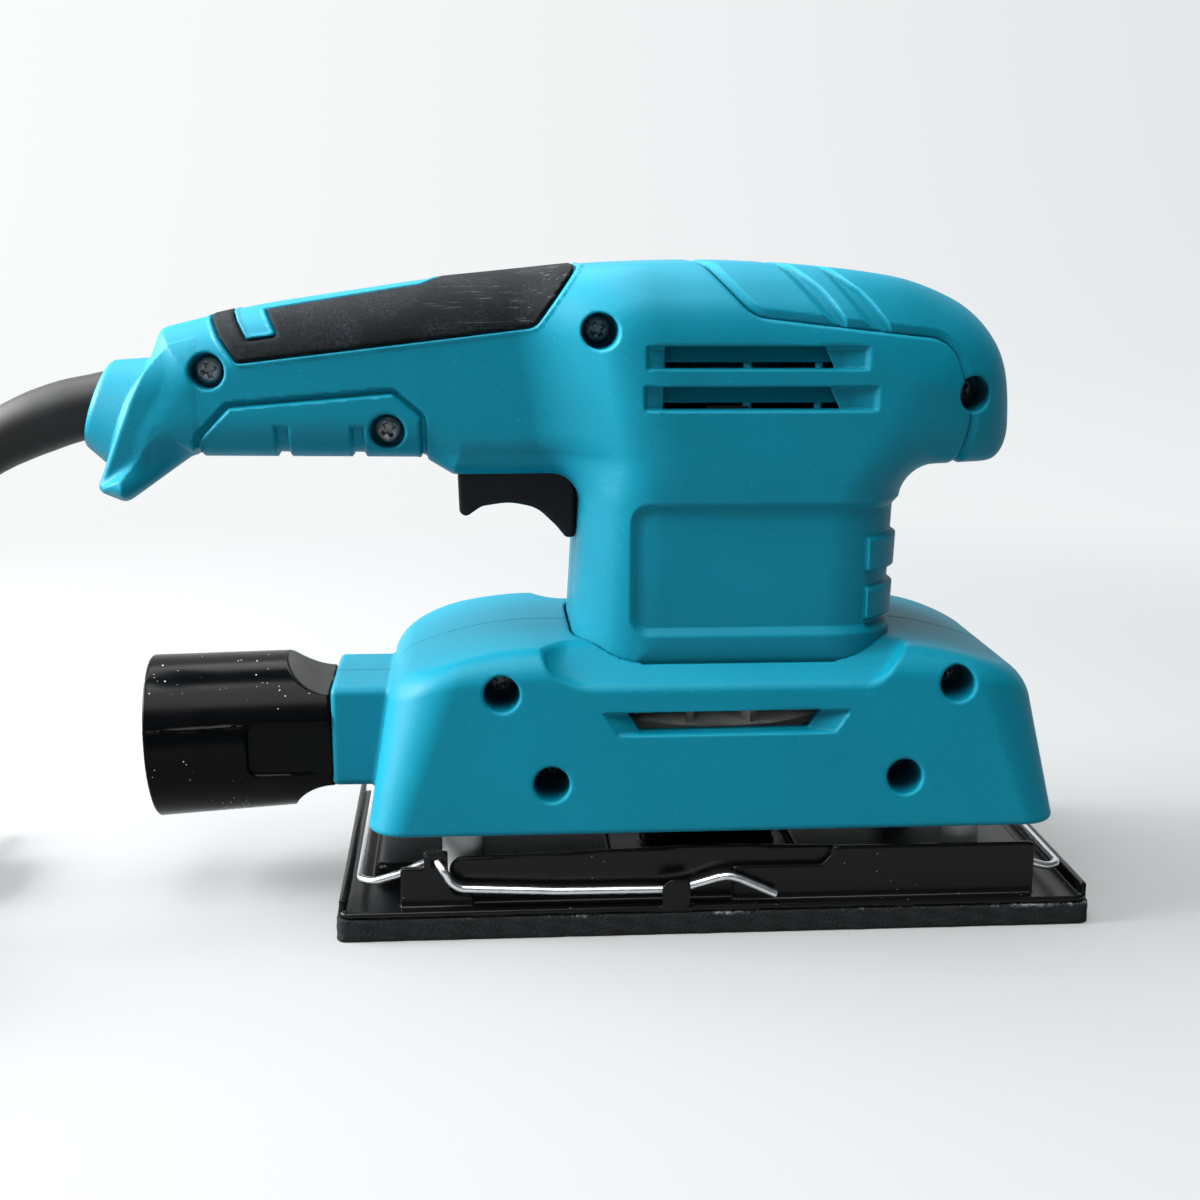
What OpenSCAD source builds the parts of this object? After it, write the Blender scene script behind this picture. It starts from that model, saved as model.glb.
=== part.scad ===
/* [Sanding pad] */
// Length of the foam pad, along the tool
pad_l = 185; // [183:1:190]
// Width of the foam pad
pad_w = 93; // [92:1:96]
// Thickness of the foam pad
foam_t = 5.7; // [4:0.1:6]
// Sheet thickness of the pressed base plate
plate_t = 1.5; // [1.2:0.1:1.8]

/* [Drive] */
// Motor shaft axis, forward of the pad's centre
shaft_x = 2; // [0:0.5:4]
// Throw of the eccentric: the pad's orbit has twice this diameter
throw = 1; // [0.5:0.1:1.5]
// Outer radius of the armature
armature_r = 15.7; // [14:0.1:15.8]
// Outer radius of the fan
fan_r = 33; // [28:0.5:34]
// Number of fan blades
fan_blades = 12; // [8:1:16]

/* [Housings] */
// Wall thickness of the moulded shells
wall = 2.6; // [2.2:0.1:3]
// Half width of the motor neck
neck_w = 32.3; // [31:0.1:33]
// Corner radius of the motor neck
neck_r = 20; // [16:1:22]
// Half width of the motor head
head_w = 33; // [32:0.5:34]

/* [Dust port] */
// Outer radius of the nozzle at its mouth
nozzle_r = 20.8; // [20:0.1:21]
// Bore radius for the vacuum hose
hose_r = 17.6; // [16:0.1:18]
// Depth of the hose bore
hose_depth = 34; // [25:1:36]
// Fall of the nozzle towards its mouth, in degrees
nozzle_tilt = 2.6; // [2:0.1:3]

/* [Cord] */
// Diameter of the mains cord
cord_d = 7; // [6.5:0.1:7]
// Radius of the wound coil, at the middle of its turns
coil_r = 35.5; // [35:0.5:36]
// Length of the plug's pins
pin_l = 19; // [18:0.5:20]

/* [Hidden] */

teal = "#1a93a8";
black = "#202224";
steel = "#b9bcc0";
far = 400;
fine = 48;
run = 0.04;

// ---- heights of the drive, from the plate upwards ----
plate_z = foam_t + plate_t;
ecc_x = shaft_x + throw;
pad_bearing_z = 13;
pad_bearing_h = 8;
pad_bearing_r = 14;
journal_r = 6;
weight_z = 30;
fan_z = 46.5;
bracket_z = 60;
core_z = 76;
core_h = 32;
core_r = 29;
core_flat = 27;
comm_z = 115.5;
comm_h = 12;
comm_r = 10.5;
brush_z = 121.5;
top_bearing_z = 132.3;
top_bearing_h = 6;
top_bearing_r = 9.5;
low_bearing_h = 7;
low_bearing_r = 11;
shaft_r = 4;
seat_z = 130.8;
seat_h = 5.5;

// ---- handle and head: one row per station along the tool ----
// [x, top, bottom, half width]: the rear hook, the grip, then the head's level crown
handle_rows = [
    [-151, 107, 103, 9], [-148.5, 112.5, 101.8, 13], [-144.5, 121, 101.1, 14.5],
    [-140.5, 130, 102.8, 15.5], [-137, 138, 105.2, 16], [-134, 142.8, 107.3, 16.5],
    [-127, 144.5, 111.5, 17], [-112, 148.5, 111.4, 17.5], [-90, 152, 111.3, 18],
    [-71, 154.8, 111.1, 18.5], [-62, 155.9, 107, 19.5], [-50, 157.3, 106.8, 22],
    [-42, 158, 106.8, 25], [-34, 158.8, 106.8, 28.5], [-26, 159.3, 106.8, 31.2],
    [-16, 159.8, 106.8, 32.6], [0, 159.9, 106.8, head_w], [22, 159.2, 106.8, head_w],
    [36, 158, 106.8, head_w], [44, 156.8, 107, head_w]
];
// The rounded nose keeps the crown's profile, and its plan is an arc of the head's half width
nose_rows = [
    [50, 155.2, 108.6], [56, 153.2, 111.2], [62, 150.2, 111.9], [67, 146.2, 112.4],
    [71, 141.2, 113.7], [74, 135.6, 116.2], [75.6, 130.2, 119.4]
];
nose_tip = 76.4;
nose_x = nose_tip - head_w;
barrel_rows = concat(handle_rows, [for (s = nose_rows) [s[0], s[1], s[2], sqrt(head_w ^ 2 - (s[0] - nose_x) ^ 2)]]);
barrel_n = len(barrel_rows);
// Squareness of the sections: 2 is an ellipse, larger is squarer
square_n = 3;
arc_steps = 12;

// ---- neck and base ----
neck_x0 = -34;
neck_x1 = 44.5;
neck_z0 = 62;
neck_z1 = 132;
panel_z0 = 71;
panel_z1 = 103;
// [z, rear x, front x, half width, corner radius], from the skirt's rim to its crown
base_rows = [
    [25, -84.6, 84.8, 43.6, 9], [30, -84.6, 84.6, 43.2, 10], [48, -81.6, 81.6, 41, 13],
    [57, -79.4, 79.4, 39.8, 15], [60.5, -77, 77, 38.6, 16], [63, -72.5, 71.5, 37.2, 17],
    [65.6, -64, 62.5, 35.4, 18], [67.6, -53, 52, 33.8, 18], [68.7, -42, 42, 31.5, 16]
];
block_x = -94.5;
block_w = 18.5;
block_z0 = 30;
block_z1 = 55.5;
spigot_r = 12;
spigot_z = 41;
nozzle_end = 46;
vent_top = 54.2;
vent_bottom = 49.5;

// ---- screws in the sides ----
// [x, z, seat of the head, outer end of the boss], the last two along Y
upper_screws = [[-121.8, 133.7, -10.5, -14.5], [-79.1, 119.3, -10.5, -15.5], [-28.3, 143.9, -20, -27.6]];
cap_screw = [62.5, 129];
lower_screws = [[-52.3, 59, -24, -35.5], [-40.5, 37.2, -24, -41], [58.4, 60, -24, -35.5], [45.5, 37.6, -24, -41]];
hole_r = 4.2;
boss_r = 6;
thread_r = 1.9;
screw_head_r = 3.8;
clamp_screw_r = 1.4;

// ---- pad, legs and clamps ----
plate_w = 46.3;
plate_l = 91.7;
wall_y = 42.6;
leg_x = 62;
leg_y = 33;
leg_r = 5;
leg_top = 44;
wire_r = 1;
pivot_x = 68.2;
pivot_z = 18.4;
lever_y = -44.1;
bail_y = 39;
// The lever outside the plate's wall, from the pivot to the finger tip, and the arm to the cross bar
lever_pts = [
    [-pivot_x - 1.2, lever_y, pivot_z + 1], [-66.4, lever_y, 16.6], [-65, lever_y, 13.8], [-62.6, lever_y, 12.2],
    [-39, lever_y, 11], [-13, lever_y, 10.8], [-7.5, lever_y, 11.5], [0, lever_y - 0.4, 13.8],
    [2.4, lever_y - 0.6, 14.2], [5, lever_y - 0.6, 13.4], [14, lever_y - 0.6, 9.2]
];
arm_pts = [
    [-pivot_x + 1, -bail_y, pivot_z + 0.4], [-77, -bail_y, 14.4], [-83.5, -bail_y, 12.5],
    [-86, 0.8 - bail_y, 12.2], [-87, 3 - bail_y, 12.2]
];

// ---- grip: [x, first angle, last angle] round the handle's section, from its top ----
grip_rows = [
    [-121, 13, 20], [-118, 18, 54], [-113.5, 20, 77], [-100, 21, 78], [-85, 22, 78], [-70.5, 22, 76],
    [-66, 0, 74], [-55, 0, 72], [-43.5, 0, 69], [-38.5, 0, 52], [-34, 0, 20]
];
grip_out = 0.5;
grip_in = 1;
grip_steps = 7;

// ---- cord: where its centre line runs, from the handle down to the top of the coil ----
cord_pts = [
    [-152, 0, 124], [-160, 0, 122], [-168, 0, 119], [-176, -0.5, 115], [-184, -2, 109.5],
    [-191, -4.5, 103], [-197, -7.5, 95], [-202, -11, 86], [-206.5, -15, 76.5], [-211, -19, 67],
    [-215.5, -22.5, 57.5], [-221, -25.3, 48.8], [-227.5, -27.2, 41], [-235, -28, 34.3],
    [-242.5, -28, 29.5], [-250, -28, 26.4]
];
// The cone on the handle's rear that the cord comes out of
outlet_r = 10.8;
outlet_l = 12;
guard_n = 7;
guard_root_r = 7.6;
guard_tip_r = 4.9;
coil_x = -248.5;
coil_y = -64.5;
coil_layers = 4;
// The winding is three cords wide, and its top layer two
coil_in = coil_r - 1.5 * cord_d;
coil_out = coil_r + 1.5 * cord_d;
// The plug's lead leaves the bottom layer's last turn straight
tail_x = coil_x + coil_out - 0.6 * cord_d;
plug_y = -37;
tail_pts = [[tail_x, -64, 3.7], [tail_x, -57, 3.7], [tail_x, -50, 4.2], [tail_x, -43, 5.6], [tail_x, plug_y, 6.85]];
relief_l = 18;
plug_l = 34;
plug_w = 17.6;
plug_t = 13.7;
pin_gap = 19;

// ==== helpers ====

// A closed solid through equal rings of points, with flat end faces
module loft(rings) {
    m = len(rings[0]);
    n = len(rings);
    sides = [for (i = [0:n - 2], j = [0:m - 1]) let (k = (j + 1) % m, a = i * m, b = a + m)
        each [[a + j, b + j, a + k], [a + k, b + j, b + k]]];
    caps = [[for (j = [0:m - 1]) j], [for (j = [m - 1:-1:0]) (n - 1) * m + j]];
    polyhedron(points = [for (r = rings) each r], faces = concat(sides, caps), convexity = 8);
}

function power(v, n) = sign(v) * abs(v) ^ (2 / n);

function arc(cx, cy, r, from, to, n) =
    [for (i = [0:n]) let (a = from + (to - from) * i / n) [cx + r * cos(a), cy + r * sin(a)]];

// A rounded rectangle in plan, from x0 to x1 and w to each side, as true curves
module rounded_slab(x0, x1, w, r, z0, z1) {
    translate([0, 0, z0])
        linear_extrude(z1 - z0) {
            translate([x0 + r, -w]) square([x1 - x0 - 2 * r, 2 * w]);
            translate([x0, r - w]) square([x1 - x0, 2 * (w - r)]);
            for (x = [x0 + r, x1 - r], y = [r - w, w - r])
                translate([x, y]) circle(r, $fn = fine);
        }
}

// What lies on the -Y side
module right_side() {
    intersection() {
        children();
        translate([-far, -far, -far]) cube([2 * far, far, 2 * far]);
    }
}

// A tube swept along its points, its radius running from r0 to r1
module tube(pts, r0, r1, sides) {
    n = len(pts);
    loft([for (i = [0:n - 1])
        let (d = pts[min(i + 1, n - 1)] - pts[max(i - 1, 0)], u = d / norm(d),
            s = cross(u, [0, 0, 1]) / norm(cross(u, [0, 0, 1])), v = cross(s, u),
            r = r0 + (r1 - r0) * i / (n - 1))
        [for (j = [0:sides - 1]) let (a = -360 * j / sides) pts[i] + r * (cos(a) * s + sin(a) * v)]]);
}

// A round bar along Y
module across(x, z, y0, y1, r) {
    translate([x, y0, z]) rotate([-90, 0, 0]) cylinder(h = y1 - y0, r = r, $fn = fine);
}

// A round bar along Z on the motor shaft's axis
module disc(z0, z1, r) {
    translate([shaft_x, 0, z0]) cylinder(h = z1 - z0, r = r, $fn = fine);
}

// A ring on the motor shaft's axis
module collar(z0, z1, r_out, r_in) {
    difference() {
        disc(z0, z1, r_out);
        disc(z0 - 1, z1 + 1, r_in);
    }
}

module both_sides() {
    children();
    mirror([0, 1, 0]) children();
}

// ==== upper housing ====

// Handle and head: the section at one row, thinned by inset, on the -Y side or all round
function barrel_ring(row, inset, whole) =
    let (mid = (row[1] + row[2]) / 2, h = (row[1] - row[2]) / 2 - inset, w = row[3] - inset,
        last = whole ? 2 * arc_steps - 1 : arc_steps)
    [for (j = [0:last]) let (t = 180 * j / arc_steps)
        [row[0], -w * power(sin(t), square_n), mid + h * power(cos(t), square_n)]];

module barrel(whole) {
    loft([for (row = barrel_rows) barrel_ring(row, 0, whole)]);
}

// The hollow leaves out the end rows, so that the ends stay closed
module barrel_hollow(whole) {
    loft([for (i = [3:barrel_n - 2]) barrel_ring(barrel_rows[i], wall, whole)]);
}

function barrel_at(x, column) = lookup(x, [for (row = barrel_rows) [row[0], row[column]]]);

// A point of the handle's skin at angle t from the top, moved out by grow
function skin_point(x, t, grow) =
    let (top = barrel_at(x, 1), bottom = barrel_at(x, 2), w = barrel_at(x, 3) + grow)
    [x, -w * power(sin(t), square_n), (top + bottom) / 2 + ((top - bottom) / 2 + grow) * power(cos(t), square_n)];

// The soft layer on one side of the handle, standing proud by out
module grip_solid(out) {
    loft([for (g = grip_rows) let (step = (g[2] - g[1]) / grip_steps)
        concat([for (j = [0:grip_steps]) skin_point(g[0], g[1] + step * j, out)],
            [for (j = [grip_steps:-1:0]) skin_point(g[0], g[1] + step * j, -grip_in)])]);
}

module neck_half() {
    right_side() {
        rounded_slab(neck_x0, neck_x1, neck_w, neck_r, neck_z0, neck_z1);
        // two clip bars wrap the front end
        intersection() {
            for (z = [74, 86])
                rounded_slab(neck_x0, neck_x1 + 1.3, neck_w + 1.3, neck_r, z, z + 7.4);
            translate([37, -far / 2, neck_z0]) cube([far, far, far]);
        }
    }
}

// The cord outlet's axis leaves the rear of the handle, falling a little
module at_outlet() {
    translate([-152, 0, 124]) rotate([0, 76, 0]) children();
}

module upper_shell() {
    difference() {
        union() {
            barrel(false);
            neck_half();
            right_side() translate([-151, 0, 124.9]) rotate([0, 109, 0])
                cylinder(h = outlet_l, r1 = outlet_r, r2 = outlet_r + 3, $fn = fine);
        }
        barrel_hollow(false);
        rounded_slab(neck_x0 + wall, neck_x1 - wall, neck_w - wall, neck_r - wall, neck_z0 - 1, neck_z1);
        at_outlet() translate([0, 0, -12]) cylinder(h = 36, r = guard_root_r, $fn = fine);
        grip_solid(4);
        head_slots();
        side_panel();
        translate([-64, -8.6, 90]) cube([38, 9, 24]);
        cap_region();
    }
}

// Two cooling slots on each side of the head
module head_slots() {
    for (z = [136.5, 126.8])
        translate([-13.4, -far, z]) cube([42, 2 * far, 3.8]);
}

// The shallow panel in the neck's side
module side_panel() {
    translate([-21, -far - neck_w + 0.9, panel_z0]) cube([neck_x1 + 21 - 12, far, panel_z1 - panel_z0]);
}

// Side view of the head cap: its part line, then everything in front of it
module cap_region() {
    translate([0, far / 2, 0])
        rotate([90, 0, 0])
            linear_extrude(far)
                polygon([[-4, 170], [-4, 160], [2, 156.5], [9, 147.4], [25, 146.1], [40, 144.1], [50, 142.2],
                    [56, 139.5], [60.5, 128], [59.6, 119], [57, 108], [90, 108], [90, 170]]);
}

// Screw bosses, the ribs that hold the field core, the upper bearing's seat, the cap's lug and the cord saddle
module upper_inner_parts() {
    for (s = upper_screws)
        across(s[0], s[1], s[3], 0, boss_r);
    for (x = [-8, 5])
        translate([shaft_x + x, -30.6, core_z + 4]) cube([3, 30.6 - core_flat, core_h - 8]);
    translate([shaft_x - 14, -31, seat_z]) cube([28, 31, seat_h]);
    translate([shaft_x + 10, -18, 124]) cube([56, 5, 11]);
    translate([-114, -16, 112]) cube([6, 16, 8.4]);
}

module upper_half(is_right) {
    difference() {
        union() {
            upper_shell();
            upper_inner_parts();
        }
        for (s = upper_screws) {
            across(s[0], s[1], is_right ? -far : s[2], 1, thread_r);
            if (is_right) across(s[0], s[1], -far, s[2], hole_r);
        }
        disc(top_bearing_z, top_bearing_z + top_bearing_h + 1, top_bearing_r);
        disc(seat_z - 1, seat_z + seat_h, shaft_r + 2);
        across(cap_screw[0], cap_screw[1], -22, -12, thread_r);
        translate([-111, -6.6, 112]) cylinder(h = 12, r = clamp_screw_r, $fn = fine);
    }
}

module upper_housing_right() {
    color(teal) upper_half(true);
}

module upper_housing_left() {
    color(teal) mirror([0, 1, 0]) upper_half(false);
}

module head_cap() {
    color(teal)
        difference() {
            union() {
                intersection() {
                    difference() {
                        barrel(true);
                        barrel_hollow(true);
                    }
                    cap_region();
                }
                both_sides() across(cap_screw[0], cap_screw[1], -25, -18, boss_r - 0.6);
            }
            both_sides() across(cap_screw[0], cap_screw[1], -far, -20.5, hole_r);
            both_sides() across(cap_screw[0], cap_screw[1], -far, -17, thread_r);
        }
}

// A cross-headed screw along Y, its head on the -Y side and its seat at y
module side_screw(x, z, y, reach) {
    difference() {
        union() {
            across(x, z, y - 3, y, screw_head_r);
            across(x, z, y - 0.1, reach, thread_r);
        }
        for (turn = [0, 90])
            translate([x, y - 3, z]) rotate([0, turn + 20, 0]) cube([4.4, 2.4, 1], center = true);
    }
}

module housing_screws() {
    color(steel) for (s = upper_screws) side_screw(s[0], s[1], s[2], -s[2]);
}

module cap_screws() {
    color(steel) both_sides() side_screw(cap_screw[0], cap_screw[1], -20.5, -13);
}

module grip_right() {
    color(black) grip_solid(grip_out);
}

module grip_left() {
    color(black) mirror([0, 1, 0]) grip_solid(grip_out);
}

// ==== base housing ====

// Half of a rounded rectangle on the -Y side, thinned by inset, as a ring at height z
function base_ring(row, inset, z) =
    let (x0 = row[1] + inset, x1 = row[2] - inset, w = row[3] - inset, r = row[4] - inset / 2,
        plan = concat([[x0, 0]], arc(x0 + r, r - w, r, 180, 270, 6), arc(x1 - r, r - w, r, 270, 360, 6), [[x1, 0]]))
    [for (p = plan) [p[0], p[1], z]];

// The nozzle's axis, pointing out of its mouth
module at_nozzle() {
    translate([block_x, 0, spigot_z]) rotate([0, -90 - nozzle_tilt, 0]) children();
}

module duct_block() {
    right_side()
        rotate([0, 90, 0])
            rounded_slab(-block_z1, -block_z0, block_w, 3, block_x, -76);
}

// The hollow over the ledge beside the neck, cut sloping down to the side
module ledge_cut() {
    translate([0, -neck_w, 64.5])
        rotate([32, 0, 0])
            linear_extrude(20)
                polygon([[-38, 6], [-28, -16], [41, -16], [52, 6]]);
}

module exhaust_slot() {
    translate([0, -20, 0])
        rotate([90, 0, 0])
            linear_extrude(far)
                polygon([[-22.3, vent_top], [25.3, vent_top], [22, vent_bottom], [-19, vent_bottom]]);
}

module base_half(is_right) {
    difference() {
        union() {
            difference() {
                union() {
                    loft([for (row = base_rows) base_ring(row, 0, row[0])]);
                    duct_block();
                }
                loft([for (i = [0:len(base_rows) - 1]) let (row = base_rows[i])
                    base_ring(row, wall, i == 0 ? row[0] - 1 : row[0] - wall)]);
            }
            for (s = lower_screws)
                across(s[0], s[1], s[3], 0, boss_r);
            for (x = [-leg_x, leg_x])
                translate([x, -leg_y, leg_top]) cylinder(h = 17, r = leg_r, $fn = fine);
        }
        ledge_cut();
        exhaust_slot();
        rounded_slab(neck_x0, neck_x1, neck_w, neck_r, neck_z0 - 6, 80);
        at_nozzle() translate([0, 0, -22]) cylinder(h = 30, r = spigot_r + run, $fn = fine);
        for (s = lower_screws) {
            across(s[0], s[1], is_right ? -far : s[2], 1, thread_r);
            if (is_right) across(s[0], s[1], -far, s[2], hole_r);
        }
    }
}

module base_housing_right() {
    color(teal) base_half(true);
}

module base_housing_left() {
    color(teal) mirror([0, 1, 0]) base_half(false);
}

module base_screws() {
    color(steel) for (s = lower_screws) side_screw(s[0], s[1], s[2], -s[2]);
}

// Plate across the neck's foot that holds the lower bearing, with air holes
module bearing_bracket() {
    color(steel)
        difference() {
            union() {
                rounded_slab(neck_x0 + wall, neck_x1 - wall, neck_w - wall, neck_r - wall, neck_z0 + 0.5, neck_z0 + 3.5);
                disc(bracket_z, bracket_z + low_bearing_h + 1.5, low_bearing_r + 2.5);
            }
            disc(bracket_z + 1, bracket_z + 20, low_bearing_r);
            disc(bracket_z - 1, bracket_z + 20, shaft_r + 2);
            for (a = [30:60:330])
                translate([shaft_x + 21 * cos(a), 21 * sin(a), bracket_z]) cylinder(h = 12, r = 4.5, $fn = fine);
        }
}

// ==== switch, trigger and cord ====

module trigger() {
    color(black) {
        translate([0, 8, 0])
            rotate([90, 0, 0])
                linear_extrude(16)
                    polygon(concat([[-62.4, 108.6], [-61.8, 98.6], [-60.2, 97.2]],
                        arc(-50.4, 88.4, 11.6, 112, 55, 6), arc(-34.9, 92.6, 1.9, 200, 360, 5),
                        [[-33, 103.5], [-37, 108.6]]));
        translate([-61, -6, 108.5]) cube([14, 12, 3.5]);
    }
}

module trigger_spring() {
    color(steel)
        difference() {
            translate([-57, 0, 112]) cylinder(h = 6.5, r = 3, $fn = fine);
            translate([-57, 0, 111]) cylinder(h = 9, r = 2.2, $fn = fine);
        }
}

module switch_body() {
    color(black) {
        translate([-68, -9, 118.5]) cube([26, 18, 15]);
        for (y = [-8.5, 4.5])
            translate([-72, y, 126]) cube([4.5, 4, 4]);
    }
}

// The cord inside the handle, up to the switch
module inner_lead() {
    color(black)
        tube([[-138, 0, 127.5], [-128, 0, 125.2], [-118, 0, 124], [-106, 0, 124.4], [-96, 0, 127],
            [-87, 0, 130], [-76, 0, 131], [-68.2, 0, 131]], cord_d / 2, cord_d / 2, 12);
}

module cord_clamp() {
    color(black)
        difference() {
            translate([-114, -9.5, 127.8]) cube([6, 19, 3]);
            both_sides() translate([-111, -6.6, 120]) cylinder(h = 20, r = clamp_screw_r, $fn = fine);
        }
}

module clamp_screws() {
    color(steel)
        both_sides() {
            translate([-111, -6.6, 114]) cylinder(h = 16.8, r = clamp_screw_r, $fn = fine);
            translate([-111, -6.6, 130.8]) cylinder(h = 2, r = 2.6, $fn = fine);
        }
}

function first_points(n) = [for (i = [0:n - 1]) cord_pts[i]];
function last_points(n) = [for (i = [n - 1:len(cord_pts) - 1]) cord_pts[i]];

module cord_guard() {
    color(black) {
        at_outlet() translate([0, 0, -0.5]) cylinder(h = 14, r = guard_root_r, $fn = fine);
        tube(first_points(guard_n), guard_root_r, guard_tip_r, 12);
    }
}

module cord() {
    color(black) tube(last_points(guard_n), cord_d / 2, cord_d / 2, 10);
}

// Three layers three cords wide, and a top layer two cords wide
module cord_coil() {
    color(black)
        translate([coil_x, coil_y, 0])
            rotate_extrude($fn = fine) {
                translate([coil_in, 0]) square([coil_out - coil_in, (coil_layers - 1) * cord_d]);
                translate([coil_in, cord_d]) square([2.2 * cord_d, (coil_layers - 1) * cord_d]);
            }
}

module cord_tail() {
    color(black) tube(tail_pts, cord_d / 2, cord_d / 2, 10);
}

// Flat two-pin plug that lies on its side, with a tapered relief
module plug_body() {
    color(black)
        translate([tail_x, plug_y, 0]) {
            translate([0, 0, plug_t / 2])
                rotate([-90, 0, 0])
                    cylinder(h = relief_l, r1 = cord_d / 2 + 0.8, r2 = 6, $fn = fine);
            translate([0, relief_l, 0])
                linear_extrude(plug_t)
                    polygon([[-8, -0.5], [-plug_w, 11], [-plug_w, 25], [3 - plug_w, plug_l],
                        [plug_w - 3, plug_l], [plug_w, 25], [plug_w, 11], [8, -0.5]]);
        }
}

module plug_pins() {
    color(steel)
        for (side = [-1, 1])
            translate([tail_x + side * pin_gap / 2, plug_y + relief_l + plug_l, plug_t / 2])
                rotate([-90, 0, 0])
                    cylinder(h = pin_l, r = 2, $fn = fine);
}

// ==== motor ====

module field_core() {
    color(steel)
        difference() {
            intersection() {
                disc(core_z, core_z + core_h, core_r);
                translate([-far, -core_flat, 0]) cube([2 * far, 2 * core_flat, far]);
            }
            disc(core_z - 1, core_z + core_h + 1, armature_r + 0.6);
        }
}

module field_coils() {
    color("#b5651d") {
        collar(core_z - 6, core_z, 26, armature_r + 2);
        collar(core_z + core_h, core_z + core_h + 5.5, 26, armature_r + 2);
    }
}

module motor_shaft() {
    color(steel) disc(22.5, top_bearing_z + top_bearing_h, shaft_r);
}

module armature_core() {
    color(steel) collar(core_z, core_z + core_h, armature_r, shaft_r);
}

module armature_winding() {
    color("#b5651d") {
        collar(core_z - 6.5, core_z, armature_r - 2, shaft_r);
        collar(core_z + core_h, core_z + core_h + 6, armature_r - 2, shaft_r);
    }
}

module commutator() {
    color("#b87333") collar(comm_z, comm_z + comm_h, comm_r, shaft_r);
}

module upper_bearing() {
    color(steel) collar(top_bearing_z, top_bearing_z + top_bearing_h, top_bearing_r, shaft_r + run);
}

module lower_bearing() {
    color(steel) collar(bracket_z + 1, bracket_z + 1 + low_bearing_h, low_bearing_r, shaft_r + run);
}

module brush_holders() {
    color("#a98b4a")
        both_sides()
            difference() {
                translate([shaft_x - 5, -29.5, brush_z - 5]) cube([10, 16.7, 10]);
                translate([shaft_x - 3.2, -28.3, brush_z - 4]) cube([6.4, 20, 8]);
            }
}

module carbon_brushes() {
    color(black)
        both_sides()
            translate([shaft_x - 3.15, -21, brush_z - 3.95]) cube([6.3, 21 - comm_r - 0.2, 7.9]);
}

module brush_springs() {
    color(steel)
        both_sides()
            difference() {
                across(shaft_x, brush_z, -28.3, -21, 2.6);
                across(shaft_x, brush_z, -30, -20, 1.8);
            }
}

module fan() {
    color("#d8d8d0")
        difference() {
            union() {
                disc(40, 57.5, 9);
                disc(fan_z, fan_z + 2, fan_r);
                for (i = [0:fan_blades - 1])
                    translate([shaft_x, 0, fan_z + 1])
                        rotate([0, 0, 360 * i / fan_blades])
                            translate([8, 0, 0])
                                rotate([0, 0, 18]) cube([fan_r - 10, 1.6, 9.5]);
            }
            disc(39, 60, shaft_r);
        }
}

// The half disc balances the pad, opposite the eccentric's throw
module counterweight() {
    color(steel)
        difference() {
            union() {
                disc(weight_z, weight_z + 8, 11);
                intersection() {
                    disc(weight_z, weight_z + 8, 24);
                    translate([shaft_x - far, -far, 0]) cube([far, 2 * far, far]);
                }
            }
            disc(weight_z - 1, weight_z + 9, shaft_r);
        }
}

module eccentric() {
    color(steel)
        difference() {
            union() {
                disc(23, weight_z, 11);
                translate([ecc_x, 0, pad_bearing_z - 0.3]) cylinder(h = 11, r = journal_r, $fn = fine);
            }
            disc(22.5, weight_z + 1, shaft_r);
            translate([ecc_x, 0, 0]) cylinder(h = 22, r = 2.5, $fn = fine);
        }
}

module pad_screw() {
    color(steel)
        translate([ecc_x, 0, 0]) {
            translate([0, 0, 8.3]) cylinder(h = 13.7, r = 2.5, $fn = fine);
            translate([0, 0, 8.3]) cylinder(h = 3.4, r = 4.5, $fn = 6);
            translate([0, 0, 11.7]) cylinder(h = 1, r = 9.5, $fn = fine);
        }
}

// ==== pad ====

module pad_bearing() {
    color(steel)
        translate([ecc_x, 0, pad_bearing_z])
            difference() {
                cylinder(h = pad_bearing_h, r = pad_bearing_r, $fn = fine);
                translate([0, 0, -1]) cylinder(h = 20, r = journal_r + run, $fn = fine);
            }
}

module rubber_legs() {
    color("#c9c9c4")
        for (x = [-leg_x, leg_x], y = [-leg_y, leg_y])
            translate([x, y, 0])
                difference() {
                    translate([0, 0, plate_z]) cylinder(h = leg_top - plate_z, r = leg_r, $fn = fine);
                    cylinder(h = 18, r = thread_r, $fn = fine);
                }
}

module leg_screws() {
    color(steel)
        for (x = [-leg_x, leg_x], y = [-leg_y, leg_y])
            translate([x, y, foam_t]) {
                cylinder(h = 11, r = thread_r, $fn = fine);
                cylinder(h = 1.4, r = 3.8, $fn = fine);
            }
}

// One pressed side of the plate: a long wall, a post with the clamp's pivot, and the catch tab
module plate_side() {
    translate([0, -wall_y + plate_t, 0])
        rotate([90, 0, 0])
            linear_extrude(plate_t) {
                polygon([[3.8, foam_t], [3.8, 15.7], [26, 15.7], [28.2, 20.2], [78.7, 20.2], [78.7, foam_t]]);
                polygon(concat([[-77, foam_t], [-77, 17], [-71.6, 17], [-71, 21], [-65.6, 21], [-65.6, 15.4]],
                    arc(-61.6, 14, 4, 180, 270, 5), [[-59.7, 10], [-59.7, foam_t]]));
            }
    translate([0, -plate_w + 1.2, 0])
        rotate([90, 0, 0])
            linear_extrude(1.2)
                polygon([[-13.9, foam_t], [-13.9, 12.2], [-12, 13.8], [-7.2, 13.8], [-7.2, foam_t]]);
}

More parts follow.
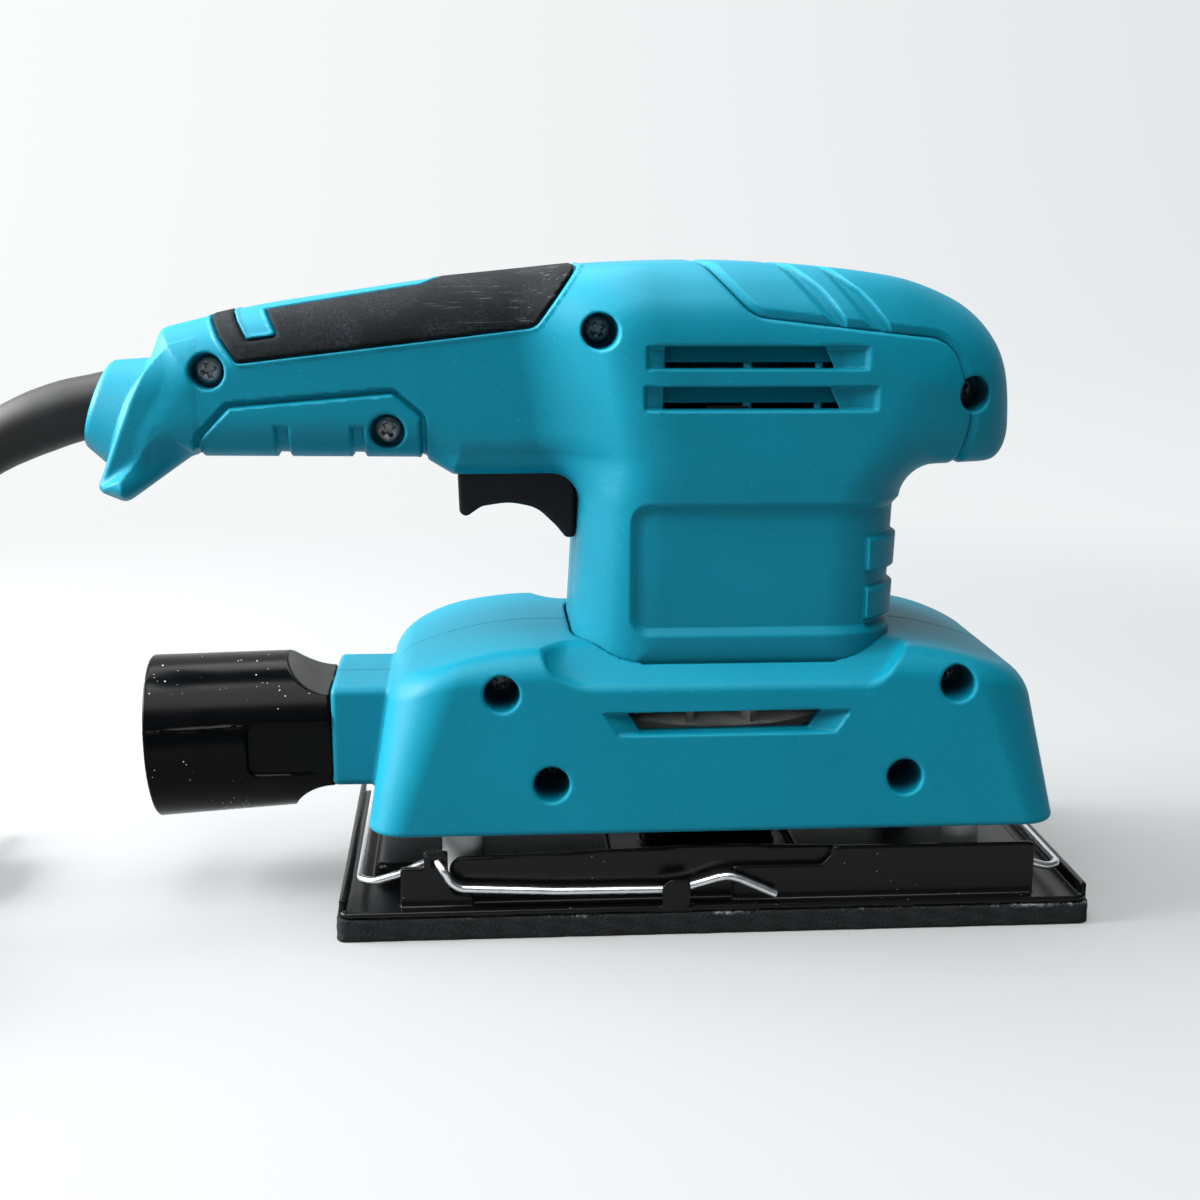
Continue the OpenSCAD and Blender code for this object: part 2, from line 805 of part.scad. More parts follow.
module base_plate() {
    color(black)
        difference() {
            union() {
                rounded_slab(-plate_l, plate_l, plate_w, 3, foam_t, plate_z);
                for (turn = [0, 180])
                    rotate([0, 0, turn]) {
                        plate_side();
                        // the end's turned-up rim
                        translate([plate_l - plate_t, -41, foam_t]) cube([plate_t, 82, 4.4]);
                        // a stiffening rib on each side of the hub
                        translate([24, -24, foam_t]) cube([60, 48, 5.2]);
                    }
                translate([ecc_x, 0, foam_t]) cylinder(h = pad_bearing_z + pad_bearing_h - foam_t, r = 17.5, $fn = fine);
            }
            translate([ecc_x, 0, pad_bearing_z]) cylinder(h = 20, r = pad_bearing_r, $fn = fine);
            translate([ecc_x, 0, 0]) cylinder(h = 20, r = 11, $fn = fine);
            for (turn = [0, 180])
                rotate([0, 0, turn])
                    translate([26, -22, 0]) cube([56, 44, foam_t + 5.2 - plate_t]);
            for (x = [-leg_x, leg_x], y = [-leg_y, leg_y])
                translate([x, y, 0]) cylinder(h = 20, r = 3.8, $fn = fine);
            for (x = [-pivot_x, pivot_x])
                across(x, pivot_z, -60, 60, wire_r + run);
        }
}

module foam_pad() {
    color("#2a2a2a") rounded_slab(-pad_l / 2, pad_l / 2, pad_w / 2, 3, 0, foam_t);
}

function mirrored(p) = [p[0], -p[1], p[2]];

// A bent wire bail: the lever, the pivots, and the arms joined by the cross bar that holds the sheet
module clamp_wire() {
    tube(lever_pts, wire_r, wire_r, 10);
    across(-pivot_x, pivot_z, lever_y - wire_r, 1 - bail_y, wire_r);
    across(-pivot_x, pivot_z, bail_y - 1, wall_y + 1.4, wire_r);
    tube(concat(arm_pts, [for (i = [len(arm_pts) - 1:-1:0]) mirrored(arm_pts[i])]), wire_r, wire_r, 10);
}

module clamp_rear() {
    color(steel) clamp_wire();
}

module clamp_front() {
    color(steel) rotate([0, 0, 180]) clamp_wire();
}

// ==== dust nozzle ====

module dust_nozzle() {
    color(black)
        at_nozzle()
            rotate_extrude($fn = fine)
                polygon(concat([[10, -12], [spigot_r, -12], [spigot_r, 0.9], [14, 0.9], [14.3, 2.4]],
                    arc(23.3, 1.8, 9, 174, 124, 5), [[20.1, 11.8], [nozzle_r, nozzle_end - 1], [nozzle_r - 0.4, nozzle_end],
                    [hose_r + 0.6, nozzle_end], [hose_r, nozzle_end - 0.6], [hose_r, nozzle_end - hose_depth],
                    [16, nozzle_end - hose_depth - 1.6], [10, 3]]));
}

upper_housing_right();
upper_housing_left();
head_cap();
base_housing_right();
base_housing_left();
grip_right();
grip_left();
housing_screws();
cap_screws();
base_screws();
trigger();
trigger_spring();
switch_body();
inner_lead();
cord_clamp();
clamp_screws();
cord_guard();
cord();
cord_coil();
cord_tail();
plug_body();
plug_pins();
field_core();
field_coils();
motor_shaft();
armature_core();
armature_winding();
commutator();
upper_bearing();
lower_bearing();
bearing_bracket();
brush_holders();
carbon_brushes();
brush_springs();
fan();
counterweight();
eccentric();
pad_bearing();
pad_screw();
rubber_legs();
leg_screws();
base_plate();
foam_pad();
clamp_rear();
clamp_front();
dust_nozzle();
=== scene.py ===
import math
from functools import partial

import bpy
import numpy as np
from mathutils import Matrix, Vector


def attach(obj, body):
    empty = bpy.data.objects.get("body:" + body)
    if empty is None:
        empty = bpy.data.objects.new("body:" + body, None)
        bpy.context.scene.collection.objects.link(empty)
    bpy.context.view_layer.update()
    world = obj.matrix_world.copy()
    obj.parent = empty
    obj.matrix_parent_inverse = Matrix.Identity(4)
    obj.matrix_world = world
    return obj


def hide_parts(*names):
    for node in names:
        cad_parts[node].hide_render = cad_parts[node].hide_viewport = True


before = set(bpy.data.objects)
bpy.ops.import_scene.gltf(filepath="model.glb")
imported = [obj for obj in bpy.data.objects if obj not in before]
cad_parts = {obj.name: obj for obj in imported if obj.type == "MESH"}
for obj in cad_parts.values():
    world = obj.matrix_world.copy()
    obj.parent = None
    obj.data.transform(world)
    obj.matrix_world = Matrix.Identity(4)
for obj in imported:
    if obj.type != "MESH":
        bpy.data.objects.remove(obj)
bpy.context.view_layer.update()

# ==== Camera ====
# A 50 mm lens just above the head, turned a little towards it and looking slightly down.
CAMERA_PLACE = (-0.05913, -0.42837, 0.16681)
CAMERA_TURN = 0.0773
CAMERA_DOWN = 0.2143
CAMERA_ROLL = 0.0055
LENS_MM, SENSOR_MM = 50.77, 36

camera_data = bpy.data.cameras.new("camera")
camera_data.lens = LENS_MM
camera_data.sensor_width = SENSOR_MM
camera = bpy.data.objects.new("camera", camera_data)
bpy.context.scene.collection.objects.link(camera)
camera.matrix_world = (
    Matrix.Translation(CAMERA_PLACE)
    @ Matrix.Rotation(-CAMERA_TURN, 4, "Z")
    @ Matrix.Rotation(math.pi / 2 - CAMERA_DOWN, 4, "X")
    @ Matrix.Rotation(CAMERA_ROLL, 4, "Z")
)
bpy.context.scene.camera = camera

# ==== Mains cord ====
# A round rubber-sheathed cord, 7 mm thick and 1.86 m long. It leaves the handle's rear straight, falls
# under its own weight and is wound for storage in four layers beside the tool.
CORD_D = 7
CORD_ROUTE = [
    (-152, 0, 124), (-160, 0, 122), (-168, 0, 119), (-176, -0.5, 115), (-184, -2, 109.5),
    (-191, -4.5, 103), (-197, -7.5, 95), (-202, -11, 86), (-206.5, -15, 76.5), (-211, -19, 67),
    (-215.5, -22.5, 57.5), (-221, -25.3, 48.8), (-227.5, -27.2, 41), (-235, -28, 34.3),
    (-242.5, -28, 29.5),
]
COIL_CENTRE = (-248.5, -64.5)
COIL_STEP = 22.5
# Each leg of the winding: degrees turned, radius and height at its start, radius and height at its end
COIL_LEGS = [
    (45, 36.5, 26.9, 35.7, 24.5), (380, 35.7, 24.5, 28.5, 24.5), (100, 28.5, 24.5, 28.5, 17.5),
    (720, 28.5, 17.5, 42.5, 17.5), (50, 42.5, 17.5, 42.5, 10.5), (720, 42.5, 10.5, 28.5, 10.5),
    (100, 28.5, 10.5, 28.5, 3.6), (675, 28.5, 3.6, 41.8, 3.6),
]
# The end runs straight out of the coil and rises a little to the plug
TAIL_X = -206.7
CORD_TAIL = [(TAIL_X, y, z) for y, z in ((-64, 3.6), (-57, 3.6), (-50, 4.2), (-43, 5.6), (-37, 6.85))]


def wound(start_angle):
    """Points of the coil, leg after leg, from the landing on top to the last turn on the floor."""
    points, angle = [], start_angle
    for sweep, r0, z0, r1, z1 in COIL_LEGS:
        steps = round(sweep / COIL_STEP)
        for i in range(steps):
            t = i / steps
            a, r = math.radians(angle + sweep * t), r0 + (r1 - r0) * t
            z = z0 + (z1 - z0) * t * t * (3 - 2 * t)
            points.append((COIL_CENTRE[0] + r * math.cos(a), COIL_CENTRE[1] + r * math.sin(a), z))
        angle += sweep
    return points


def mesh_of(curve):
    """The plain mesh that a curve shows."""
    holder = bpy.data.objects.new(curve.name, curve)
    bpy.context.scene.collection.objects.link(holder)
    graph = bpy.context.evaluated_depsgraph_get()
    mesh = bpy.data.meshes.new_from_object(holder.evaluated_get(graph), depsgraph=graph)
    bpy.data.objects.remove(holder)
    return mesh


def smooth_curve(name, points):
    """A curve that runs smoothly through points given in millimetres."""
    curve = bpy.data.curves.new(name, "CURVE")
    curve.dimensions = "3D"
    spline = curve.splines.new("BEZIER")
    spline.bezier_points.add(len(points) - 1)
    for knot, point in zip(spline.bezier_points, points):
        knot.co = Vector(point) / 1000
        knot.handle_left_type = knot.handle_right_type = "AUTO"
    return curve


cord_curve = smooth_curve("mains_cord", CORD_ROUTE + wound(90) + CORD_TAIL)
cord_curve.resolution_u = 6
cord_line = [list(vertex.co) for vertex in mesh_of(cord_curve).vertices]
cord_curve.bevel_depth = CORD_D / 2000
cord_curve.bevel_resolution = 5
cord_curve.use_fill_caps = True
mains_cord = bpy.data.objects.new("mains_cord", mesh_of(cord_curve))
bpy.context.scene.collection.objects.link(mains_cord)
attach(mains_cord, "housing")
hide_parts("cord", "cord_coil", "cord_tail")

# ==== Upper housing halves ====
# Two glass-filled nylon mouldings, teal, with 2.6 mm walls. They meet on the tool's middle plane and hold
# the motor, switch and cord between them. The right half has the sunk screw holes, the left one is blind.
# Each half's hand, the side of the seam it lies on, and whether the screws go in from there
HALVES = (("right", -1, True), ("left", 1, False))
WALL = 2.6
# Each moulding's skin is found on a lattice of cells, in millimetres, worked through in blocks
CELL = 0.55
BLOCK, BATCH = 8, 600
MOST_FACES = 190000
AXES = np.eye(3, dtype=int)


def both(a, b, r):
    """What lies inside both shapes, with the edge where they meet rounded to radius r."""
    return np.minimum(np.maximum(a, b) + r, 0) + np.hypot(np.maximum(a + r, 0), np.maximum(b + r, 0)) - r


def either(a, b, r):
    """What lies inside either shape, with the corner where they meet filled to radius r."""
    return -both(-a, -b, r)


def less(a, b, r):
    """The first shape with the second cut away, and the new edge rounded to radius r."""
    return both(a, -b, r)


def ramp(v, low, high):
    """Runs smoothly from 0 at low to 1 at high."""
    t = np.clip((v - low) / (high - low), 0, 1)
    return t * t * (3 - 2 * t)


def slab(v, low, high):
    """Distance to the layer between low and high."""
    return np.maximum(low - v, v - high)


def outline(corners, step=0.4, margin=12):
    """Signed distance to a closed outline of (u, v, corner radius), read from a table worked out once."""
    rim = []
    for i, (*place, r) in enumerate(corners):
        after = corners[(i + 1) % len(corners)]
        p, a, b = np.array(place), np.array(corners[i - 1][:2]), np.array(after[:2])
        to_a, to_b = (a - p) / np.linalg.norm(a - p), (b - p) / np.linalg.norm(b - p)
        half = math.acos(np.clip(to_a @ to_b, -1, 1)) / 2
        middle = p + (to_a + to_b) / np.linalg.norm(to_a + to_b) * r / math.sin(half)
        first, last = (p + to * r / math.tan(half) - middle for to in (to_a, to_b))
        start = math.atan2(first[1], first[0])
        turn = (math.atan2(last[1], last[0]) - start + math.pi) % (2 * math.pi) - math.pi
        count = math.ceil(abs(turn) * r) + 1 if r else 0
        for k in range(count + 1):
            angle = start + turn * k / max(count, 1)
            rim.append(middle + r * np.array([math.cos(angle), math.sin(angle)]))
    rim = np.array(rim)
    low = rim.min(0) - margin
    size = np.ceil((rim.max(0) + margin - low) / step).astype(int) + 1
    u, v = np.meshgrid(*(low[k] + step * np.arange(size[k]) for k in range(2)), indexing="ij")
    near, within = np.full(u.shape, np.inf), np.zeros(u.shape, bool)
    for p, q in zip(rim, np.roll(rim, -1, 0)):
        run = q - p
        t = np.clip(((u - p[0]) * run[0] + (v - p[1]) * run[1]) / max(run @ run, 1e-9), 0, 1)
        near = np.minimum(near, (u - p[0] - t * run[0]) ** 2 + (v - p[1] - t * run[1]) ** 2)
        if run[1]:
            within ^= ((p[1] > v) != (q[1] > v)) & (u < p[0] + (v - p[1]) * run[0] / run[1])
    table = np.where(within, -1, 1) * np.sqrt(near)

    def distance(u, v):
        a = np.clip((u - low[0]) / step, 0, size[0] - 1.001)
        b = np.clip((v - low[1]) / step, 0, size[1] - 1.001)
        i, j = a.astype(int), b.astype(int)
        fa, fb = a - i, b - j
        near_v = table[i, j] * (1 - fa) + table[i + 1, j] * fa
        far_v = table[i, j + 1] * (1 - fa) + table[i + 1, j + 1] * fa
        beyond = np.hypot(u - low[0] - a * step, v - low[1] - b * step)
        return near_v * (1 - fb) + far_v * fb + beyond

    return distance


def slopes(solid, points, reach=0.12):
    """Unit vectors pointing straight out of the solid's skin."""
    total = np.zeros_like(points)
    for corner in ((1, -1, -1), (-1, -1, 1), (-1, 1, -1), (1, 1, 1)):
        shift = np.array(corner, float)
        total += shift * solid(*(points + reach * shift).T)[:, None]
    return total / np.maximum(np.linalg.norm(total, axis=1, keepdims=True), 1e-9)


def skin(solid, low, high, cell):
    """Points and quads of the skin where solid(x, s, z) is zero. The solid is negative inside."""
    low, span = np.array(low, float), cell * BLOCK
    blocks = np.ceil((np.array(high) - low) / span).astype(int)
    centres = (low[k] + span * (np.arange(blocks[k]) + 0.5) for k in range(3))
    coarse = solid(*np.meshgrid(*centres, indexing="ij"))
    near = np.argwhere(np.abs(coarse) < 1.2 * span)
    lattice = np.where(coarse < 0, -span, span)
    for k in range(3):
        lattice = np.repeat(lattice, BLOCK, axis=k)
    inner = np.argwhere(np.ones((BLOCK,) * 3, bool))
    for some in np.array_split(near, len(near) // BATCH + 1):
        index = (some[:, None] * BLOCK + inner).reshape(-1, 3)
        lattice[tuple(index.T)] = solid(*(low + cell * index).T)
    # Every lattice edge that the skin crosses, and where it crosses
    starts = []
    for k in range(3):
        a, b = (np.moveaxis(lattice < 0, k, 0)[part] for part in (slice(None, -1), slice(1, None)))
        starts.append(np.argwhere(np.moveaxis(a != b, 0, k)))
    axis = np.repeat([0, 1, 2], [len(some) for some in starts])
    start = np.concatenate(starts)
    v0, v1 = lattice[tuple(start.T)], lattice[tuple((start + AXES[axis]).T)]
    solid_first = v0 < 0
    t0, t1 = np.zeros(len(start)), np.ones(len(start))
    for _ in range(3):
        t = t0 + (t1 - t0) * v0 / (v0 - v1)
        cuts = low + cell * (start + t[:, None] * AXES[axis])
        value = solid(*cuts.T)
        same = (value < 0) == (v0 < 0)
        t0, v0 = np.where(same, t, t0), np.where(same, value, v0)
        t1, v1 = np.where(same, t1, t), np.where(same, v1, value)
    out = slopes(solid, cuts)
    # One point for each cell that holds a crossing: the place nearest to all the planes that cross it,
    # which keeps sharp edges sharp
    b, c = AXES[(axis + 1) % 3], AXES[(axis + 2) % 3]
    around = np.stack([start - b - c, start - c, start, start - b], 1).reshape(-1, 3)
    keys, owner = np.unique(np.ravel_multi_index(around.T, lattice.shape), return_inverse=True)
    owner = owner.reshape(-1)
    count = np.bincount(owner).astype(float)
    cut4, out4 = np.repeat(cuts, 4, 0), np.repeat(out, 4, 0)
    mean = np.stack([np.bincount(owner, cut4[:, k]) for k in range(3)], 1) / count[:, None]
    lift = np.einsum("ij,ij->i", out4, cut4 - mean[owner])
    square = np.zeros((len(keys), 3, 3))
    for i in range(3):
        for j in range(i, 3):
            square[:, i, j] = square[:, j, i] = np.bincount(owner, out4[:, i] * out4[:, j])
        square[:, i, i] += 0.02 * count
    right = np.stack([np.bincount(owner, out4[:, k] * lift) for k in range(3)], 1)
    points = mean + np.linalg.solve(square, right[:, :, None])[:, :, 0]
    corner = low + cell * np.stack(np.unravel_index(keys, lattice.shape), 1)
    points = np.clip(points, corner, corner + cell)
    quads = owner.reshape(-1, 4)
    return points, np.where(solid_first[:, None], quads, quads[:, ::-1])


def moulded(name, solid, low, high, cell=CELL, side=1, plain=None, most=MOST_FACES):
    """A mesh, in metres, of the solid's skin. Side -1 puts it on the -Y side. Where plain(x, s, z) is
    negative the skin shows little, and its faces are thinned until the mesh has at most so many."""
    points, quads = skin(solid, low, high, cell)
    mesh = bpy.data.meshes.new(name)
    mesh.from_pydata(points, [], quads if side == 1 else quads[:, ::-1])
    if 2 * len(quads) > most:
        thinned = bpy.data.objects.new(name, mesh)
        bpy.context.scene.collection.objects.link(thinned)
        hidden = plain(*points.T) < 0 if plain else np.ones(len(points), bool)
        group = thinned.vertex_groups.new(name="hidden")
        group.add(np.flatnonzero(hidden).tolist(), 1, "REPLACE")
        thin = thinned.modifiers.new("thin", "DECIMATE")
        thin.ratio = most / (2 * len(quads))
        thin.vertex_group = "hidden"
        mesh = bpy.data.meshes.new_from_object(thinned.evaluated_get(bpy.context.evaluated_depsgraph_get()))
        bpy.data.objects.remove(thinned)
        points = np.empty(3 * len(mesh.vertices))
        mesh.vertices.foreach_get("co", points)
        points = points.reshape(-1, 3)
    turned = np.array([1, side, 1])
    normals = slopes(solid, points) * turned
    mesh.vertices.foreach_set("co", (points * turned / 1000).ravel())
    mesh.update()
    mesh.polygons.foreach_set("use_smooth", np.ones(len(mesh.polygons), bool))
    mesh.normals_split_custom_set_from_vertices(normals)
    return mesh


def placed(name, mesh, body, slot, material, *nodes):
    """The finished piece: on its body, in its finish, standing for its CAD nodes."""
    piece = bpy.data.objects.new(name, mesh)
    bpy.context.scene.collection.objects.link(piece)
    mesh.materials.clear()
    mesh.materials.append(material)
    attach(piece, body)
    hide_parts(*nodes)
    return piece


def linear(hex_colour):
    """An sRGB hex colour as the linear values that the shaders take."""
    values = [int(hex_colour[i:i + 2], 16) / 255 for i in (0, 2, 4)]
    return [v / 12.92 if v <= 0.04045 else ((v + 0.055) / 1.055) ** 2.4 for v in values] + [1]


def feed(tree, node, inputs):
    """Fills a node's inputs: one given as a socket is linked, and any other is set."""
    for key, value in inputs.items():
        if isinstance(value, bpy.types.NodeSocket):
            tree.links.new(value, node.inputs[key])
        else:
            node.inputs[key].default_value = value


def add(tree, kind, inputs, **settings):
    """One node with its settings and its inputs."""
    node = tree.nodes.new(kind)
    for key, value in settings.items():
        setattr(node, key, value)
    feed(tree, node, inputs)
    return node


def new_material(name):
    """A material, its node tree, its surface shader and the object's own coordinates in millimetres."""
    material = bpy.data.materials.new(name)
    material.use_nodes = True
    tree = material.node_tree
    shader = tree.nodes["Principled BSDF"]
    places = add(tree, "ShaderNodeTexCoord", {})
    mm = add(tree, "ShaderNodeMapping", {"Vector": places.outputs["Object"], "Scale": (1000, 1000, 1000)})
    return material, tree, shader, mm.outputs[0]


def two_toned(tree, shader, pattern, colours, roughness):
    """Lets a finish's colour and roughness follow one pattern, from the first of each to the second."""
    first, second = (linear(colour) for colour in colours)
    low, high = roughness
    tone = add(tree, "ShaderNodeMix", {0: pattern, 6: first, 7: second}, data_type="RGBA")
    sheen = add(tree, "ShaderNodeMapRange", {"Value": pattern, "To Min": low, "To Max": high})
    feed(tree, shader, {"Base Color": tone.outputs[2], "Roughness": sheen.outputs[0]})


# Glass-filled nylon moulded against a spark-eroded tool: an even satin grain that breaks the highlights up
# and shows as fine light specks. It is drawn 0.7 mm wide, coarser than the real 0.1 mm, so that it shows.
# A colour Mix node has its factor, first and second colour at 0, 6 and 7, and its result at 2.
TEAL, TEAL_LIGHT, TEAL_DEEP = "02768d", "22a3b9", "026b80"
GRAIN_MM, PATCH_MM = 0.7, 26
teal_nylon, tree, shader, mm = new_material("teal_nylon_moulded_satin")
grain = add(
    tree, "ShaderNodeTexNoise", {"Vector": mm, "Scale": 1 / GRAIN_MM, "Detail": 3, "Roughness": 0.6},
)
patches = add(tree, "ShaderNodeTexNoise", {"Vector": mm, "Scale": 1 / PATCH_MM, "Detail": 2})
tint = add(
    tree, "ShaderNodeMix", {0: patches.outputs[0], 6: linear(TEAL_DEEP), 7: linear(TEAL)},
    data_type="RGBA",
)
specks = add(
    tree, "ShaderNodeMapRange",
    {"Value": grain.outputs[0], "From Min": 0.62, "From Max": 0.76, "To Max": 0.4},
)
specked = add(
    tree, "ShaderNodeMix", {0: specks.outputs[0], 6: tint.outputs[2], 7: linear(TEAL_LIGHT)},
    data_type="RGBA",
)
gloss = add(tree, "ShaderNodeMapRange", {"Value": grain.outputs[0], "To Min": 0.38, "To Max": 0.56})
bump = add(tree, "ShaderNodeBump", {"Height": grain.outputs[0], "Strength": 0.35, "Distance": 0.00012})
feed(tree, shader, {
    "Base Color": specked.outputs[2], "Roughness": gloss.outputs[0], "Normal": bump.outputs[0],
    "Specular IOR Level": 0.13,
})

# The side view of handle, head and neck, from the cord end over the crown: (x, z, corner radius)
BODY_SIDE = outline([
    (-149.4, 105, 2), (-134.3, 143.2, 3.2), (-112.2, 148.7, 200), (-70, 155.1, 300), (-32, 159, 300),
    (0, 160.2, 300), (30, 158.8, 200), (50, 155.8, 60), (67, 148.4, 28), (76.1, 134.2, 28),
    (76.7, 112.3, 8.5), (48, 110.7, 7.5), (45.9, 50, 0), (-35, 50, 0), (-31.9, 108.1, 7), (-63.4, 108, 3.5),
    (-71.4, 112.6, 4), (-126.5, 112.9, 7), (-142, 102, 3.6),
])
# Half widths. Then where the head begins behind the neck, and where the handle begins to taper
HANDLE_W, HEAD_W, NECK_W = 18.5, 33, 32.4
HEAD_REAR, TAPER_X = -34, -71
NOSE_X, NOSE_R = 45.8, 33.2
HOOK_TOP, HOOK_FRONT, HOOK_W = (-134.3, 143.2), -124, 15
# The hollow under the hook, and the cord outlet's cone that stands on its rear edge
HOOK_HOLLOW = outline([(-134, 120.7, 1), (-124, 112.8, 1), (-120, 96, 0), (-144, 96, 0)])
OUTLET, OUTLET_IN, OUTLET_R = (-151, 124.9), (0.9455, -0.3256), 10.9


def barrel(x, s, z):
    """Handle, head and neck without their details: the side view filled to its half width and rounded."""
    handle_plan = s - HANDLE_W + 0.028 * np.maximum(TAPER_X - x, 0)
    head_plan = both(HEAD_REAR - 0.18 * np.maximum(z - 107, 0) - x, s - HEAD_W, 27)
    above = ramp(z, 101, 114)
    plan = s - NECK_W + (either(handle_plan, head_plan, 10) - s + NECK_W) * above
    handle_r = 10 + 5 * ramp(z, 118, 138) + 4 * ramp(-x, 122, 134) * ramp(-z, -121, -108)
    head_r = 16 + 6 * ramp(z, 118, 140) + 9 * ramp(x, 30, 66) * ramp(z, 113, 130)
    upper_r = handle_r + (head_r - handle_r) * ramp(x, -52, -6)
    edge_r = 20 + (upper_r - 20) * above
    side = BODY_SIDE(x, z)
    solid = both(side, plan, edge_r)
    # The nose is round in plan too
    front = np.hypot(np.maximum(x - NOSE_X, 0), s) - NOSE_R
    both_near = np.maximum(5 - np.abs(solid - front), 0)
    solid = np.maximum(solid, front) + both_near ** 2 / 20
    # The hook keeps its width and a crisp rear edge, but for the hollow that the hand's edge rests in
    top = (z - HOOK_TOP[1]) * 0.9704 - (x - HOOK_TOP[0]) * 0.2415
    flange = both(both(side, s - HOOK_W - 1.4 * ramp(z, 102, 124), 1.6), top, 15)
    flange = less(both(flange, x - HOOK_FRONT, 2), HOOK_HOLLOW(x, z), 1.5)
    solid = either(solid, flange, 1.2)
    # The cone that the cord comes out of
    along = (x - OUTLET[0]) * OUTLET_IN[0] + (z - OUTLET[1]) * OUTLET_IN[1]
    out = np.hypot(s, (x - OUTLET[0]) * OUTLET_IN[1] - (z - OUTLET[1]) * OUTLET_IN[0])
    cone = both((out - OUTLET_R - 0.42 * along) * 0.92, slab(along, 0, 12), 1.6)
    return either(solid, cone, 1)


# The soft grip's outline in the side view, and the teal spine strip and its tab that part it on the crown
GRIP_SIDE = outline([
    (-121.9, 147, 0.5), (-118.6, 141.2, 6), (-114.4, 135.8, 1.5), (-43.4, 144.5, 4), (-32.4, 160, 1),
    (-33, 175, 0), (-121, 175, 0),
])
GRIP_GAP, GRIP_RECESS = 0.35, 1.3
TAB_SIDE = outline([(-117.9, 150, 0.5), (-112.2, 140.9, 0.8), (-104.6, 142, 0.8), (-110.2, 152, 0.5)])
SPINE_PLAN = outline([
    (-112.5, -8.8, 0.5), (-112.5, 8.8, 0.5), (-70, 8.8, 2.5),
    (-66.2, 4, 2), (-66.2, -4, 2), (-70, -8.8, 2.5),
])
# The head cap's place, the sunk panel of the neck with its two raised bars, and the handle's lower relief
CAP_SIDE = outline([
    (-9, 175, 0), (-4.6, 161, 9), (7.6, 147.4, 9), (56.9, 141.8, 9), (61.9, 124, 14), (57, 104, 0),
    (95, 104, 0), (95, 175, 0),
])
PANEL_SIDE = outline([(-21, 103.2, 4.5), (-21, 70.8, 4.5), (80, 70.8, 0), (80, 103.2, 0)])
PANEL_DEPTH, PANEL_BARS = 1.4, ((74.2, 81.4), (86.2, 93.8))
RELIEF_SIDE = outline([
    (-124.9, 100, 0), (-124.9, 117.5, 2), (-117, 125.6, 2),
    (-77.4, 129, 2), (-70.4, 123, 2), (-70.2, 100, 0),
])
RELIEF_NOTCHES = ((-106.2, -102.6), (-88, -84.4))
# Screws in the side: x, z, and how far from the seam the head's seat and the boss's outer end are
UPPER_SCREWS = [(-121.8, 133.7, 10.5, 14.5), (-79.1, 119.3, 11, 15.5), (-28.3, 143.9, 16, 27.6)]
CAP_SCREW, CAP_SEAT = (62.5, 129), 13
HOLE_R, BOSS_R, THREAD_R = 4.3, 6, 1.9
# Cooling slots: bottom, top, rear and front of the recess, rear and front of the opening
SLOTS = [(135.1, 140.9, -17.8, 35.5, -13.3, 27.5), (125.5, 131.4, -18.2, 38, -13.5, 29)]
SLOT_DEPTH = 1.9
SEAM_R, SEAM_GAP = 0.45, 0.06


def grip_field(x, s, z):
    """Distance to the edge of the soft grip on the handle's skin."""
    spine = np.maximum(SPINE_PLAN(x, s), 138 - z)
    return np.maximum(GRIP_SIDE(x, z), -np.minimum(spine, TAB_SIDE(x, z)))


def skin_detail(x, s, z):
    """How far the moulded relief goes in from the plain skin, in millimetres; below zero it stands proud."""
    panel = PANEL_SIDE(x, z)
    deep = PANEL_DEPTH * np.clip(-panel / 1.9, 0, 1)
    for low, high in PANEL_BARS:
        bar = np.maximum(slab(z, low, high), 37.5 - x)
        deep = np.minimum(deep, PANEL_DEPTH * np.clip(bar / 0.7, 0, 1))
    relief = RELIEF_SIDE(x, z)
    low_side = ramp(s, 4, 8)
    deep = deep - 0.45 * ramp(-relief, 0.3, 1.2) * low_side
    deep = deep + 1.1 * np.clip(1.5 - np.abs(relief) / 0.62, 0, 1) * low_side
    for rear, front in RELIEF_NOTCHES:
        notch = np.maximum(slab(x, rear, front), z - 120.7)
        deep = deep + 1.1 * np.clip(-notch / 0.7, 0, 1)
    for low, high, rear, front, _, _ in SLOTS:
        inset = np.minimum(x - rear, (front - x) / 1.5)
        ends = np.clip(inset / 0.8, 0, 1) * (0.45 + 0.55 * np.clip(inset / 4, 0, 1))
        deep = deep + SLOT_DEPTH * ends * np.clip(-slab(z, low, high) / 0.5, 0, 1) * ramp(s, 20, 24)
    lip = grip_field(x, s, z)
    return deep - 0.28 * ramp(lip, 0.1, 0.6) * ramp(-lip, -1.5, -0.9)


def screw_bored(solid, from_screw, s, seat, holes, rim_r):
    """The solid with a screw's thread bored and, on the side that it goes in from, its hole sunk."""
    if holes:
        solid = less(solid, np.maximum(from_screw - HOLE_R, seat - s), rim_r)
    return np.maximum(solid, -np.maximum(from_screw - THREAD_R, s - seat - 1 if holes else s - seat))


# The shaft's place, and the upper bearing's seat: half length, half width, bottom, top and radius
SHAFT_X, SHAFT_HOLE_R = 2, 6
BEARING_SEAT = (14, 22, 130.8, 136.3, 9.6)
# The louvres' distance from the seam and thickness, and the place and half width of each post behind them
LOUVRE_S, LOUVRE_T, LOUVRE_POSTS = 29.6, 1.6, ((6.7, 1), (23.8, 0.9))
# The trigger's opening: rear, front, half width, bottom and top
TRIGGER_WAY = (-63.2, -32.3, 8.4, 90.6, 117.6)
CORD_BORE_R, NECK_FOOT = 7.75, 62.4


